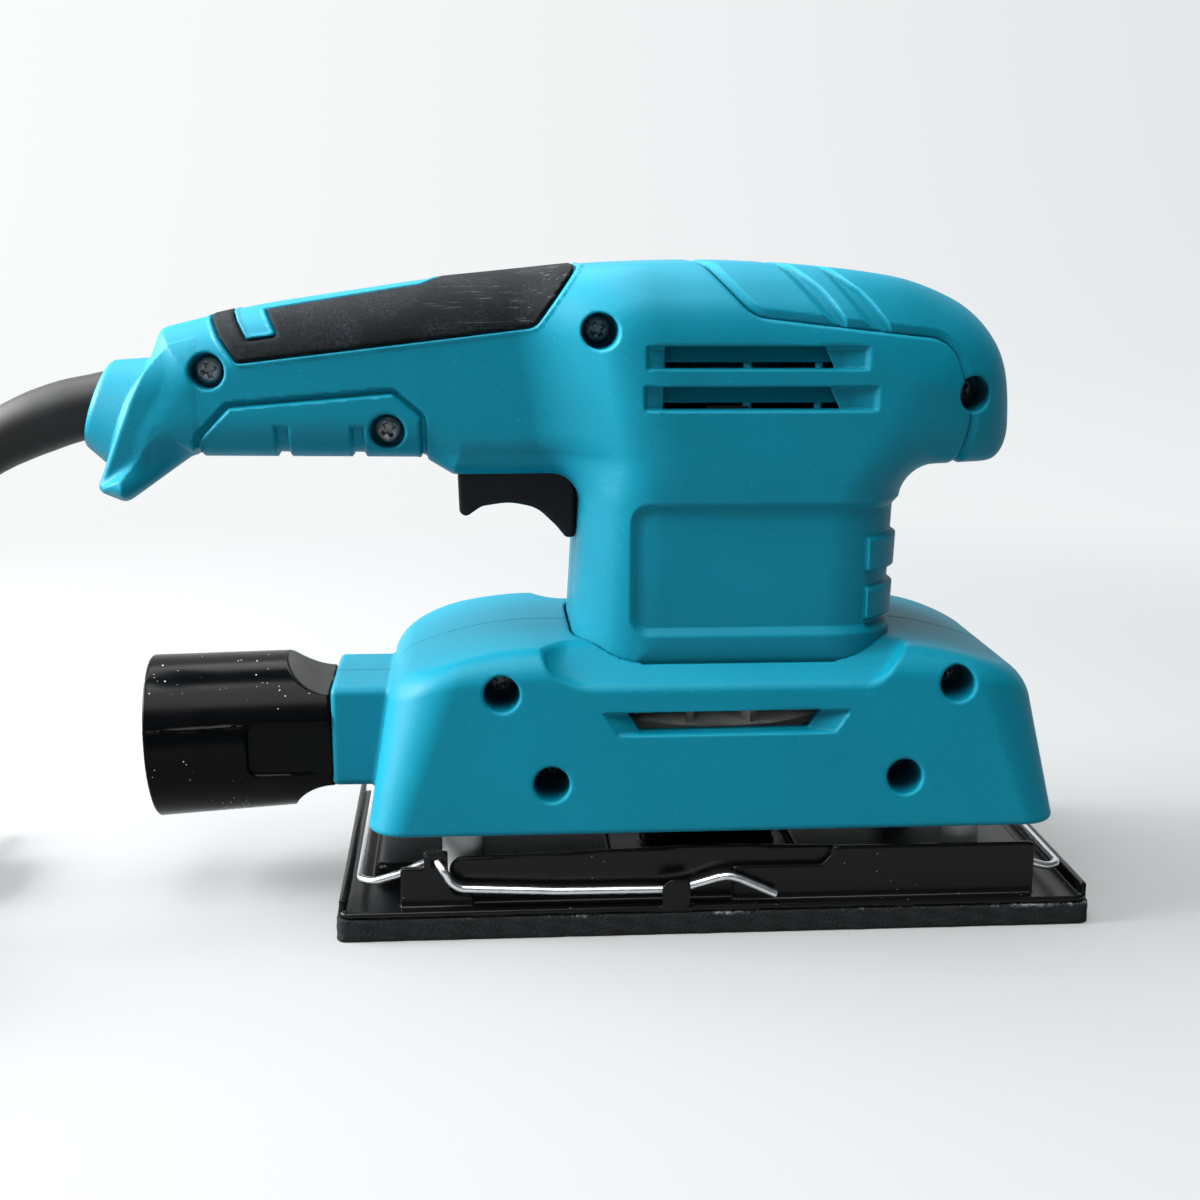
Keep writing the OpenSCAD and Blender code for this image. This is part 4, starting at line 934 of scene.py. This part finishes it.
def plate(x, y, z):
    """The pressing. Both sides are alike when it is turned half round, as its two clamps are."""
    a, s = x * np.where(y > 0, -1, 1), np.abs(y)
    plan = round_cornered(x, s, PLATE_L, PLATE_W, PLATE_R)
    solid = both(plan, slab(z, PLATE_Z, PLATE_TOP), 0.4)
    walls = np.minimum(FRONT_WALL(a, z), REAR_WALL(a, z))
    solid = either(solid, both(walls, slab(s, WALL_IN, WALL_OUT), 0.35), 0.5)
    solid = either(solid, both(BEAD_WALL(a, z), slab(s, BEAD_IN, BEAD_OUT), 0.4), 0.5)
    solid = either(solid, both(CATCH(a, z), slab(s, CATCH_IN, PLATE_W), 0.3), 0.3)
    rim = both(np.maximum(slab(np.abs(x), PLATE_L - SHEET, PLATE_L), s - RIM_W), slab(z, 6, 10.1), 0.4)
    solid = either(solid, rim, 0.5)
    # The raised field on each side of the hub, hollow below by the sheet's thickness
    inner, outer, half_w, top = FIELD
    field = both(both(slab(np.abs(x), inner, outer), s - half_w, 3), z - top, 1.5)
    hollow = both(slab(np.abs(x), inner + SHEET, outer - SHEET), s - (half_w - SHEET), 2)
    solid = both(either(solid, field, 1.2), PLATE_Z - z, 0.3)
    solid = less(solid, both(hollow, z - (top - SHEET), 1), 0.3)
    # The hub with its bearing seat, and the pierced holes
    from_hub = np.hypot(x - HUB_X, y)
    hub = both(from_hub - HUB_R, slab(z, PLATE_Z, HUB_TOP), 0.6)
    solid = either(solid, hub, 1)
    solid = less(solid, np.maximum(from_hub - HUB_BORE, slab(z, 0, 30)), 0.4)
    solid = np.maximum(solid, -np.maximum(from_hub - SEAT_R, SEAT_Z - z))
    for leg_x in (-LEG_X, LEG_X):
        solid = less(solid, np.maximum(np.hypot(x - leg_x, s - LEG_S) - LEG_HOLE_R, z - 12), 0.3)
    pivot = np.hypot(np.abs(x) - PIVOT_X, z - PIVOT_Z) - WIRE_R - 0.1
    blind_end = np.where(a > 0, s - 41.6, -1)
    return np.maximum(solid, -np.maximum(pivot, np.maximum(38 - s, blind_end)))


mesh = moulded("plate", plate, (-93, -47.5, 4.5), (93, 47.5, 22.5), cell=0.6)
placed("plate", mesh, "pad", "black_paint", enamel, "base_plate")

# ==== Clamp wires ====
# Two spring-steel wires, 2 mm thick and bright zinc plated, each bent into a cross bar that holds the sheet,
# two pivots in the plate's walls, and one long lever that springs behind its catch.
BEND_R, RING_MM = 2.2, 0.7
WIRE_DULL, WIRE_BRIGHT = "c4c7c9", "eceeef"
DRAWN_MARKS_PER_MM = 0.7
# Drawn wire plated with bright zinc: a sharp metal highlight, broken a little by the drawing marks
zinc_wire, tree, shader, mm = new_material("spring_steel_wire_zinc_plated")
drawn = add(tree, "ShaderNodeTexNoise", {"Vector": mm, "Scale": DRAWN_MARKS_PER_MM, "Detail": 4})
two_toned(tree, shader, drawn.outputs[0], (WIRE_DULL, WIRE_BRIGHT), (0.2, 0.42))
feed(tree, shader, {"Metallic": 1})
LEVER_Y, BAIL_Y, BAR_X = -44.1, 39, -87
TIP_Y = LEVER_Y - 0.6
# Finger tip, over the hump, along the wall, up to the pivot, across, out to the cross bar and back
CLAMP_PATH = [
    (14, TIP_Y, 9.2), (5, TIP_Y, 13.4), (2.4, TIP_Y, 14.2), (0, LEVER_Y - 0.4, 13.8),
    (-7.5, LEVER_Y, 11.5), (-13, LEVER_Y, 10.8), (-39, LEVER_Y, 11), (-62.6, LEVER_Y, 12.2),
    (-65, LEVER_Y, 13.8), (-66.4, LEVER_Y, 16.6), (-PIVOT_X, LEVER_Y, PIVOT_Z),
    (-PIVOT_X, -BAIL_Y, PIVOT_Z), (-77, -BAIL_Y, 14.4), (-83.5, -BAIL_Y, 12.5), (BAR_X, 3 - BAIL_Y, 12.2),
    (BAR_X, BAIL_Y - 3, 12.2), (-83.5, BAIL_Y, 12.5), (-77, BAIL_Y, 14.4), (-PIVOT_X, BAIL_Y, PIVOT_Z),
    (-PIVOT_X, 41.4, PIVOT_Z),
]


def tree_with(name, sizes):
    """A Geometry Nodes tree with one named float input for each size."""
    tree = bpy.data.node_groups.new(name, "GeometryNodeTree")
    tree.interface.new_socket("Geometry", in_out="INPUT", socket_type="NodeSocketGeometry")
    ids = {}
    for label, value in sizes.items():
        socket = tree.interface.new_socket(label, in_out="INPUT", socket_type="NodeSocketFloat")
        socket.default_value = value
        ids[label] = socket.identifier
    tree.interface.new_socket("Geometry", in_out="OUTPUT", socket_type="NodeSocketGeometry")
    return tree, ids


def grown(name, start, tree, values):
    """The plain mesh that a Geometry Nodes tree grows from a starting object, which is then removed."""
    bpy.context.scene.collection.objects.link(start)
    growing = start.modifiers.new("grow", "NODES")
    growing.node_group = tree
    for identifier, value in values.items():
        growing[identifier] = value
    graph = bpy.context.evaluated_depsgraph_get()
    mesh = bpy.data.meshes.new_from_object(start.evaluated_get(graph), depsgraph=graph)
    mesh.name = name
    bpy.data.objects.remove(start)
    return mesh


bent_wire, wire_ids = tree_with("bent_wire", {"Bend radius": 0.002, "Wire radius": 0.001})
tree_in = add(bent_wire, "NodeGroupInput", {})
bends = add(
    bent_wire, "GeometryNodeFilletCurve",
    {"Curve": tree_in.outputs[0], "Radius": tree_in.outputs[1], "Limit Radius": True}, mode="BEZIER",
)
even = add(
    bent_wire, "GeometryNodeResampleCurve", {"Curve": bends.outputs[0], "Length": RING_MM / 1000},
    mode="LENGTH",
)
section = add(
    bent_wire, "GeometryNodeCurvePrimitiveCircle", {"Resolution": 16, "Radius": tree_in.outputs[2]},
    mode="RADIUS",
)
drawn_out = add(
    bent_wire, "GeometryNodeCurveToMesh",
    {"Curve": even.outputs[0], "Profile Curve": section.outputs[0], "Fill Caps": True},
)
real = add(bent_wire, "GeometryNodeRealizeInstances", {0: drawn_out.outputs[0]})
plated = add(bent_wire, "GeometryNodeSetMaterial", {"Geometry": real.outputs[0], "Material": zinc_wire})
add(bent_wire, "NodeGroupOutput", {0: plated.outputs[0]})

for place, turn in (("rear", 1), ("front", -1)):
    line = bpy.data.curves.new(f"clamp_{place}_line", "CURVE")
    line.dimensions = "3D"
    run = line.splines.new("POLY")
    run.points.add(len(CLAMP_PATH) - 1)
    for knot, (x, y, z) in zip(run.points, CLAMP_PATH):
        knot.co = (x * turn / 1000, y * turn / 1000, z / 1000, 1)
    start = bpy.data.objects.new(f"clamp_{place}_line", line)
    sizes = {wire_ids["Bend radius"]: BEND_R / 1000, wire_ids["Wire radius"]: WIRE_R / 1000}
    mesh = grown(f"clamp_wire_{place}", start, bent_wire, sizes)
    mesh.polygons.foreach_set("use_smooth", [True] * len(mesh.polygons))
    placed(f"clamp_wire_{place}", mesh, f"clamp_{place}", "spring_steel", zinc_wire, f"clamp_{place}")

# ==== Screws ====
# Self-tapping pan-head screws with a cross recess, zinc plated and worn grey with dirt in the recess. They
# sit deep in their holes and were driven by hand, so no two crosses stand alike.
HEAD_R, HEAD_T, DOME_R = 3.2, 2.4, 5.9
CROSS_L, CROSS_W, CROSS_DEPTH = 2.1, 0.55, 2.1
SHANK_R, PITCH = 1.75, 1.1
ZINC_DIRT, ZINC_WORN = "45484a", "c9cccd"
BLOTCHES_PER_MM = 0.9
# Zinc on case-hardened steel: bright where the driver rubbed it, grey and pitted where dirt sits
worn_zinc, tree, shader, mm = new_material("screw_steel_zinc_worn")
blotches = add(
    tree, "ShaderNodeTexNoise", {"Vector": mm, "Scale": BLOTCHES_PER_MM, "Detail": 5, "Roughness": 0.7},
)
bump = add(tree, "ShaderNodeBump", {"Height": blotches.outputs[0], "Strength": 0.5, "Distance": 0.0002})
two_toned(tree, shader, blotches.outputs[0], (ZINC_DIRT, ZINC_WORN), (0.3, 0.65))
feed(tree, shader, {"Normal": bump.outputs[0], "Metallic": 0.9})


def cross_screw(length):
    """One screw, its seat at the origin and its head towards -Y."""

    def solid(x, y, z):
        r = np.hypot(x, z)
        dome = np.hypot(r, y - 3.4) - DOME_R
        head = both(both(r - HEAD_R, slab(y, -HEAD_T, 0), 0.35), dome, 0.3)
        upright = np.maximum(np.abs(x) - CROSS_W, np.abs(z) - CROSS_L)
        level = np.maximum(np.abs(z) - CROSS_W, np.abs(x) - CROSS_L)
        cross = np.maximum(np.minimum(upright, level), r - 2.2 + 0.45 * (y + HEAD_T))
        recess = np.maximum(cross, y + HEAD_T - CROSS_DEPTH)
        ring = np.maximum(np.abs(r - 2.6) - 0.14, y + HEAD_T - 0.3)
        head = less(less(head, np.minimum(recess, r - 0.85 + np.maximum(y + 1, 0)), 0.12), ring, 0.08)
        turns = y / PITCH + np.arctan2(z, x) / (2 * math.pi)
        thread = SHANK_R - 0.2 + 0.22 * np.abs(np.mod(turns, 1) * 2 - 1)
        tip = (length - y) * 0.5
        shank = np.maximum(r - np.minimum(thread, tip), slab(y, -0.5, length))
        return np.minimum(head, shank)

    low, high = (-4.4, -3.6, -4.4), (4.4, length + 0.6, 4.4)
    return moulded("cross_screw", solid, low, high, cell=0.2, most=30000)


# How far, in radians, a screw's cross can stand from upright
LEAST_TURN, MOST_TURN = 0.2, 1.4
driven_screws, screw_ids = tree_with("driven_screws", {"Turn seed": 3})
pattern_socket = driven_screws.interface.new_socket("Screw", in_out="INPUT", socket_type="NodeSocketObject")
tree_in = add(driven_screws, "NodeGroupInput", {})
whole_seed = add(driven_screws, "FunctionNodeFloatToInt", {0: tree_in.outputs["Turn seed"]})
chance = add(
    driven_screws, "FunctionNodeRandomValue",
    {"Min": LEAST_TURN, "Max": MOST_TURN, "Seed": whole_seed.outputs[0]}, data_type="FLOAT",
)
side_turn = add(driven_screws, "GeometryNodeInputNamedAttribute", {"Name": "side_turn"}, data_type="FLOAT")
angles = add(driven_screws, "ShaderNodeCombineXYZ", {1: chance.outputs["Value"], 2: side_turn.outputs[0]})
pattern = add(driven_screws, "GeometryNodeObjectInfo", {0: tree_in.outputs["Screw"]})
set_screws = add(driven_screws, "GeometryNodeInstanceOnPoints", {
    "Points": tree_in.outputs[0], "Instance": pattern.outputs["Geometry"], "Rotation": angles.outputs[0],
})
real = add(driven_screws, "GeometryNodeRealizeInstances", {0: set_screws.outputs[0]})
dressed = add(
    driven_screws, "GeometryNodeSetMaterial", {"Geometry": real.outputs[0], "Material": worn_zinc},
)
add(driven_screws, "NodeGroupOutput", {0: dressed.outputs[0]})

# For each group: its CAD node, the length below the head, the seats with the turn that faces them to their
# side, and a seed
SCREW_GROUPS = [
    ("handle_screws", "housing_screws", 21, [(x, -seat, z, 0) for x, z, seat, _ in UPPER_SCREWS[:2]], 3),
    ("head_screw", "housing_screws", 38, [(x, -seat, z, 0) for x, z, seat, _ in UPPER_SCREWS[2:]], 4),
    (
        "cap_screw_pair", "cap_screws", 7.5,
        [(CAP_SCREW[0], y, CAP_SCREW[1], turn) for y, turn in ((-CAP_SEAT, 0), (CAP_SEAT, math.pi))], 5,
    ),
    ("base_screw_set", "base_screws", 46, [(x, -LOWER_SEAT, z, 0) for x, z in LOWER_SCREWS], 8),
]
for piece_name, node_name, length, seats, seed in SCREW_GROUPS:
    screw = bpy.data.objects.new("cross_screw", cross_screw(length))
    seats_mesh = bpy.data.meshes.new("screw_seats")
    seats_mesh.from_pydata([(x / 1000, y / 1000, z / 1000) for x, y, z, _ in seats], [], [])
    side_turns = seats_mesh.attributes.new("side_turn", "FLOAT", "POINT")
    side_turns.data.foreach_set("value", [turn for *_, turn in seats])
    start = bpy.data.objects.new("screw_seats", seats_mesh)
    sizes = {screw_ids["Turn seed"]: float(seed), pattern_socket.identifier: screw}
    mesh = grown(piece_name, start, driven_screws, sizes)
    bpy.data.objects.remove(screw)
    placed(piece_name, mesh, "housing", "screw_steel", worn_zinc, node_name)

# ==== Cord guard ====
# A tapered sleeve of soft black rubber, moulded round the cord and clamped in the handle's outlet. It
# bends with the cord and keeps it from kinking.
RUBBER, RUBBER_DUST = "08090a", "1b1d1f"
# Points along its middle, each with its radius there
GUARD_RUN = [
    ((-137, 0, 127.7), 7.5), ((-144, 0, 126), 7.5), ((-151, 0, 124.25), 7.7), ((-158, 0, 122.6), 7.9),
    ((-165, 0, 120.2), 7.9), ((-171, -0.2, 117.6), 7.6), ((-176.5, -0.6, 114.7), 7.2),
    ((-181, -1.2, 111.7), 6.8), ((-186, -2.6, 107.9), 6.2), ((-191, -4.5, 103), 5.6),
    ((-194.5, -6.2, 98.8), 5.1), ((-197, -7.5, 95), 4.7),
]
GUARD_R = GUARD_RUN[0][1]
SKIN_GRAINS_PER_MM, FILM_PATCHES_PER_MM = 1.2, 0.07
# Soft rubber from a plain mould: a dull sheen under a patchy film of dust
soft_rubber, tree, shader, mm = new_material("black_rubber_moulded_matt")
grain = add(tree, "ShaderNodeTexNoise", {"Vector": mm, "Scale": SKIN_GRAINS_PER_MM, "Detail": 4})
film = add(tree, "ShaderNodeTexNoise", {"Vector": mm, "Scale": FILM_PATCHES_PER_MM, "Detail": 4})
bump = add(tree, "ShaderNodeBump", {"Height": grain.outputs[0], "Strength": 0.25, "Distance": 0.0001})
two_toned(tree, shader, film.outputs[0], (RUBBER, RUBBER_DUST), (0.38, 0.62))
feed(tree, shader, {"Normal": bump.outputs[0], "Specular IOR Level": 0.3})

guard_line = smooth_curve("guard_line", [point for point, _ in GUARD_RUN])
for knot, (_, radius) in zip(guard_line.splines[0].bezier_points, GUARD_RUN):
    knot.radius = radius / GUARD_R
guard_line.resolution_u = 8
guard_line.bevel_depth = GUARD_R / 1000
guard_line.bevel_resolution = 8
guard_line.use_fill_caps = True
mesh = mesh_of(guard_line)
for face in mesh.polygons:
    face.use_smooth = len(face.vertices) == 4
guard_sleeve = placed("guard_sleeve", mesh, "housing", "cord_rubber", soft_rubber, "cord_guard")

# ==== Plug ====
# A flat two-pin plug moulded on to the cord's end in the same rubber, waisted for the fingers, with two
# nickel-plated round pins.
PLUG_Y, RELIEF_L, PLUG_L, PLUG_W, PLUG_T = CORD_TAIL[-1][1], 18, 34, 17.6, 13.7
PIN_GAP, PIN_L, PIN_R, PIN_NICKEL = 19, 19, 2, "cfcac0"
PLUG_PLAN = outline([
    (-8, 0, 1), (-PLUG_W + 0.2, 11, 5), (-PLUG_W + 0.2, 25, 6), (-PLUG_W + 3.2, PLUG_L, 2),
    (PLUG_W - 3.2, PLUG_L, 2), (PLUG_W - 0.2, 25, 6), (PLUG_W - 0.2, 11, 5), (8, 0, 1),
])


def plug(x, y, z):
    """The moulded body and its ribbed, tapered relief."""
    across, along, up = x - TAIL_X, y - PLUG_Y, z - PLUG_T / 2
    body = both(PLUG_PLAN(across, along - RELIEF_L), np.abs(up) - PLUG_T / 2 + 0.1, 2.6)
    grip = 0.5 * np.clip(1.6 - np.abs(np.mod(along - RELIEF_L - 9, 3.2) - 1.6) / 0.4, 0, 1)
    waist = ramp(along - RELIEF_L, 9, 10) * ramp(-(along - RELIEF_L), -25, -24)
    body = body + grip * waist * ramp(np.abs(across), 13.6, 14.4)
    r = np.hypot(across, up)
    neck_r = CORD_D / 2 + 0.8 + 1.7 * np.clip(along / RELIEF_L, 0, 1)
    rings = 0.45 * np.clip(1.5 - np.abs(np.mod(along, 3) - 1.5) / 0.5, 0, 1) * ((along > 2) & (along < 16))
    relief = both((r - neck_r + rings) * 0.95, slab(along, 0, RELIEF_L + 2), 0.4)
    return either(body, relief, 1)


plug_low, plug_high = (TAIL_X - 19, PLUG_Y - 1, -1), (TAIL_X + 19, PLUG_Y + RELIEF_L + PLUG_L + 1, 15)
mesh = moulded("moulded_plug", plug, plug_low, plug_high, cell=0.5)
moulded_plug = placed("moulded_plug", mesh, "housing", "cord_rubber", soft_rubber, "plug_body")

PIN_RUBS_PER_MM = 0.8
# Turned brass under nickel: warm bright metal, rubbed by sockets
nickel, tree, shader, mm = new_material("brass_pins_nickel_plated")
rub = add(tree, "ShaderNodeTexNoise", {"Vector": mm, "Scale": PIN_RUBS_PER_MM, "Detail": 4})
sheen = add(tree, "ShaderNodeMapRange", {"Value": rub.outputs[0], "To Min": 0.15, "To Max": 0.35})
feed(tree, shader, {"Roughness": sheen.outputs[0], "Base Color": linear(PIN_NICKEL), "Metallic": 1})


def pins(x, y, z):
    """Both round pins, with domed tips."""
    r = np.hypot(np.abs(x - TAIL_X) - PIN_GAP / 2, z - PLUG_T / 2)
    along = y - PLUG_Y - RELIEF_L - PLUG_L
    return both(r - PIN_R, slab(along, -3, PIN_L), 1.2)


pins_low, pins_high = (TAIL_X - 13, 11, 4), (TAIL_X + 13, 35.5, 10)
mesh = moulded("plug_pin_pair", pins, pins_low, pins_high, cell=0.4)
plug_pin_pair = placed("plug_pin_pair", mesh, "housing", "pin_metal", nickel, "plug_pins")

# The cord's sheath is drawn smooth, in the same black as the guard.
mains_cord.data.materials.append(soft_rubber)
[v / 1000 for v in CORD_ROUTE[0]]

# ==== Working parts inside ====
# Switch, universal motor, fan, bearings and the eccentric that drives the pad. They are turned, stamped,
# wound, cast or moulded, each in its own stock and finish, and are held between the housing's halves.


def dress(material, *nodes):
    """Gives the parts inside their finish."""
    for node_name in nodes:
        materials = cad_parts[node_name].data.materials
        materials.clear()
        materials.append(material)


def finish_of(name, light, dark, rough, metallic, grain_mm, *nodes, relief=0.00005):
    """A material with an even grain between two colours, for the parts inside that are made of it."""
    material, tree, shader, mm = new_material(name)
    grain = add(tree, "ShaderNodeTexNoise", {"Vector": mm, "Scale": 1 / grain_mm, "Detail": 4})
    bump = add(tree, "ShaderNodeBump", {"Height": grain.outputs[0], "Strength": 0.3, "Distance": relief})
    two_toned(tree, shader, grain.outputs[0], (dark, light), (rough * 0.75, rough * 1.25))
    feed(tree, shader, {"Normal": bump.outputs[0], "Metallic": metallic})
    dress(material, *nodes)


# Pale nylon of the fan, dusted by use
finish_of("fan_nylon_natural_dusty", "b9bab4", "8b8c88", 0.6, 0, 3, "fan", relief=0.0001)
# Grey vulcanised rubber of the legs, with bloom on it
finish_of("grey_rubber_legs", "c2c4c4", "9a9c9c", 0.7, 0, 4, "rubber_legs")
# Phenolic of the switch and of the cord's clamp
finish_of("black_phenolic_moulded", "1d1e20", "121315", 0.45, 0, 1.5, "switch_body", "cord_clamp")
# Brass gone dark on the brush holders, and the pressed carbon of the brushes
finish_of("brush_holder_brass_tarnished", "17130b", "0d0a06", 0.6, 0.6, 2, "brush_holders")
finish_of("brush_carbon_pressed", "26272a", "17181a", 0.7, 0, 0.5, "carbon_brushes")
# Silicon-steel laminations, varnished
finish_of("lamination_steel_varnished", "6f6a62", "4a463f", 0.45, 0.7, 1.2, "field_core", "armature_core")
# Enamelled copper windings, dipped in varnish, and the bare turned copper of the commutator
finish_of(
    "copper_winding_enamelled", "b0552a", "70300f", 0.35, 0.75, 0.8, "field_coils", "armature_winding",
    relief=0.0003,
)
finish_of("commutator_copper_turned", "c27a4a", "8e5028", 0.3, 1, 0.7, "commutator")
# Ground and turned steel of shaft, bearings and screws
finish_of(
    "shaft_steel_ground", "b9bcbe", "8d9092", 0.25, 1, 0.6,
    "motor_shaft", "pad_screw", "clamp_screws", "leg_screws",
)
finish_of(
    "bearing_steel_ground", "c6c9cb", "9b9ea0", 0.2, 1, 0.8, "upper_bearing", "lower_bearing", "pad_bearing",
)
finish_of("spring_wire_bright", "b4b6b8", "7f8183", 0.3, 1, 0.6, "trigger_spring", "brush_springs")
# Die-cast zinc, left as cast
finish_of(
    "die_cast_zinc_alloy", "9d9fa1", "737577", 0.5, 0.9, 1.5,
    "bearing_bracket", "counterweight", "eccentric",
)
# The lead to the switch has the cord's own sheath
dress(soft_rubber, "inner_lead")

# ==== Table and light ====
# A seamless white sweep: the floor runs up behind the object in one large curve. Far from the object the
# paper is shown as plain white. Near it the paper is shown lit, so that it keeps the object's shadow, with
# 22 percent of the plain white laid over it as painted light that lightens that shadow.
PAPER, LIT_WHITE, PAINTED_SHADE_GREY = "838586", "fbfdfd", "e4e6e8"
SWEEP_R, SWEEP_TOP, FLOOR_HALF, FLOOR_FRONT, FLOOR_BACK = 0.9, 4, 3.2, -3.2, 1.6
# The sweep's curve: degrees in a step, and steps
ARC_STEP, ARC_STEPS = 6, 15
sweep_profile = [(FLOOR_FRONT, 0)]
for k in range(ARC_STEPS + 1):
    angle = math.radians(ARC_STEP * k)
    sweep_profile.append((FLOOR_BACK + SWEEP_R * math.sin(angle), SWEEP_R * (1 - math.cos(angle))))
sweep_profile.append((FLOOR_BACK + SWEEP_R, SWEEP_TOP))
sweep_mesh = bpy.data.meshes.new("white_sweep")
sweep_points = [(x, y, z) for y, z in sweep_profile for x in (-FLOOR_HALF, FLOOR_HALF)]
sweep_strips = [(2 * i, 2 * i + 1, 2 * i + 3, 2 * i + 2) for i in range(len(sweep_profile) - 1)]
sweep_mesh.from_pydata(sweep_points, [], sweep_strips)
sweep_mesh.polygons.foreach_set("use_smooth", [True] * len(sweep_mesh.polygons))
sweep = bpy.data.objects.new("white_sweep", sweep_mesh)
bpy.context.scene.collection.objects.link(sweep)

# The plain white is seen by the camera and, from behind the object, in reflections. No other light comes
# from it.
paper, tree, shader, mm = new_material("white_paper_sweep")
feed(tree, shader, {"Base Color": linear(PAPER), "Roughness": 0.9})
parts = add(tree, "ShaderNodeSeparateXYZ", {0: mm})
away = add(tree, "ShaderNodeVectorMath", {0: mm}, operation="LENGTH")
# Share of plain white: all of it far away, and 22 percent near the object, painted light that lightens the
# shadow
backdrop_and_shadow_lift = add(
    tree, "ShaderNodeMapRange",
    {"Value": away.outputs["Value"], "From Min": 260, "From Max": 640, "To Min": 0.22},
    interpolation_type="SMOOTHSTEP",
)
seen = add(tree, "ShaderNodeLightPath", {})
behind = add(
    tree, "ShaderNodeMapRange", {"Value": parts.outputs[1], "From Min": -100, "From Max": 700},
    interpolation_type="SMOOTHSTEP",
)
mirrored = add(
    tree, "ShaderNodeMath", {0: seen.outputs["Is Glossy Ray"], 1: seen.outputs["Is Transmission Ray"]},
    operation="MAXIMUM",
)
seen_back = add(
    tree, "ShaderNodeMath", {0: mirrored.outputs[0], 1: behind.outputs[0]},
    operation="MULTIPLY",
)
seen_all = add(
    tree, "ShaderNodeMath", {0: seen.outputs["Is Camera Ray"], 1: seen_back.outputs[0]},
    operation="MAXIMUM",
)
shown = add(tree, "ShaderNodeMath", {0: seen_all.outputs[0], 1: backdrop_and_shadow_lift.outputs[0]}, operation="MULTIPLY")
# The plain white is painted greyer towards the right: painted shade standing in for the room's light falling
# off
side = add(
    tree, "ShaderNodeMapRange", {"Value": parts.outputs[0], "From Min": -1100, "From Max": 1500},
    interpolation_type="SMOOTHSTEP",
)
white = add(
    tree, "ShaderNodeMix", {0: side.outputs[0], 6: linear(LIT_WHITE), 7: linear(PAINTED_SHADE_GREY)},
    data_type="RGBA",
)
plain_white = add(tree, "ShaderNodeEmission", {"Color": white.outputs[2], "Strength": 1.0})
paper_out = add(
    tree, "ShaderNodeMixShader", {0: shown.outputs[0], 1: shader.outputs[0], 2: plain_white.outputs[0]},
)
tree.links.new(paper_out.outputs[0], tree.nodes["Material Output"].inputs["Surface"])
sweep_mesh.materials.append(paper)

# The room is brightest on the window's side and above, and dim behind the camera
ROOM_BRIGHT_WAY, ROOM_DIM, ROOM_BRIGHT, ROOM_SEEN = (-0.5, 0.2, 0.84), 0.02, 0.35, 0.93
world = bpy.data.worlds.new("soft_room")
bpy.context.scene.world = world
world.use_nodes = True
tree = world.node_tree
direction = add(tree, "ShaderNodeTexCoord", {})
toward = add(
    tree, "ShaderNodeVectorMath", {0: direction.outputs["Generated"], 1: ROOM_BRIGHT_WAY},
    operation="DOT_PRODUCT",
)
room = add(tree, "ShaderNodeMapRange", {
    "Value": toward.outputs["Value"], "From Min": -0.35, "From Max": 1,
    "To Min": ROOM_DIM, "To Max": ROOM_BRIGHT,
})
rays = add(tree, "ShaderNodeLightPath", {})
strength = add(
    tree, "ShaderNodeMix", {0: rays.outputs["Is Camera Ray"], 2: room.outputs[0], 3: ROOM_SEEN},
    data_type="FLOAT",
)
background = tree.nodes["Background"]
background.inputs["Color"].default_value = (0.98, 0.99, 1, 1)
tree.links.new(strength.outputs[0], background.inputs["Strength"])
bpy.context.scene.view_settings.view_transform = "Standard"


def softbox(name, place, aim_height, size, power):
    """A square area lamp, turned to a point at a height above the middle of the pad."""
    lamp = bpy.data.lights.new(name, "AREA")
    lamp.shape = "SQUARE"
    lamp.size, lamp.energy = size, power
    holder = bpy.data.objects.new(name, lamp)
    bpy.context.scene.collection.objects.link(holder)
    back = Vector(place) - Vector((0, 0, aim_height))
    turn = back.to_track_quat("Z", "Y").to_matrix().to_4x4()
    holder.matrix_world = Matrix.Translation(place) @ turn


# A window on the handle's side gives the main light, and a second lamp behind it lights the rear edges
softbox("window", (-1.35, -0.02, 0.66), 0.08, 0.75, 70)
softbox("window_edge", (-1.25, 0.5, 0.7), 0.08, 0.75, 25)
# Two lamps above, behind and in front, light the crown and keep the shadow under the base soft
softbox("overhead", (-0.25, 0.4, 1.35), 0.05, 1.1, 25)
softbox("overhead_front", (-0.25, -0.45, 1.35), 0.05, 1.0, 21)
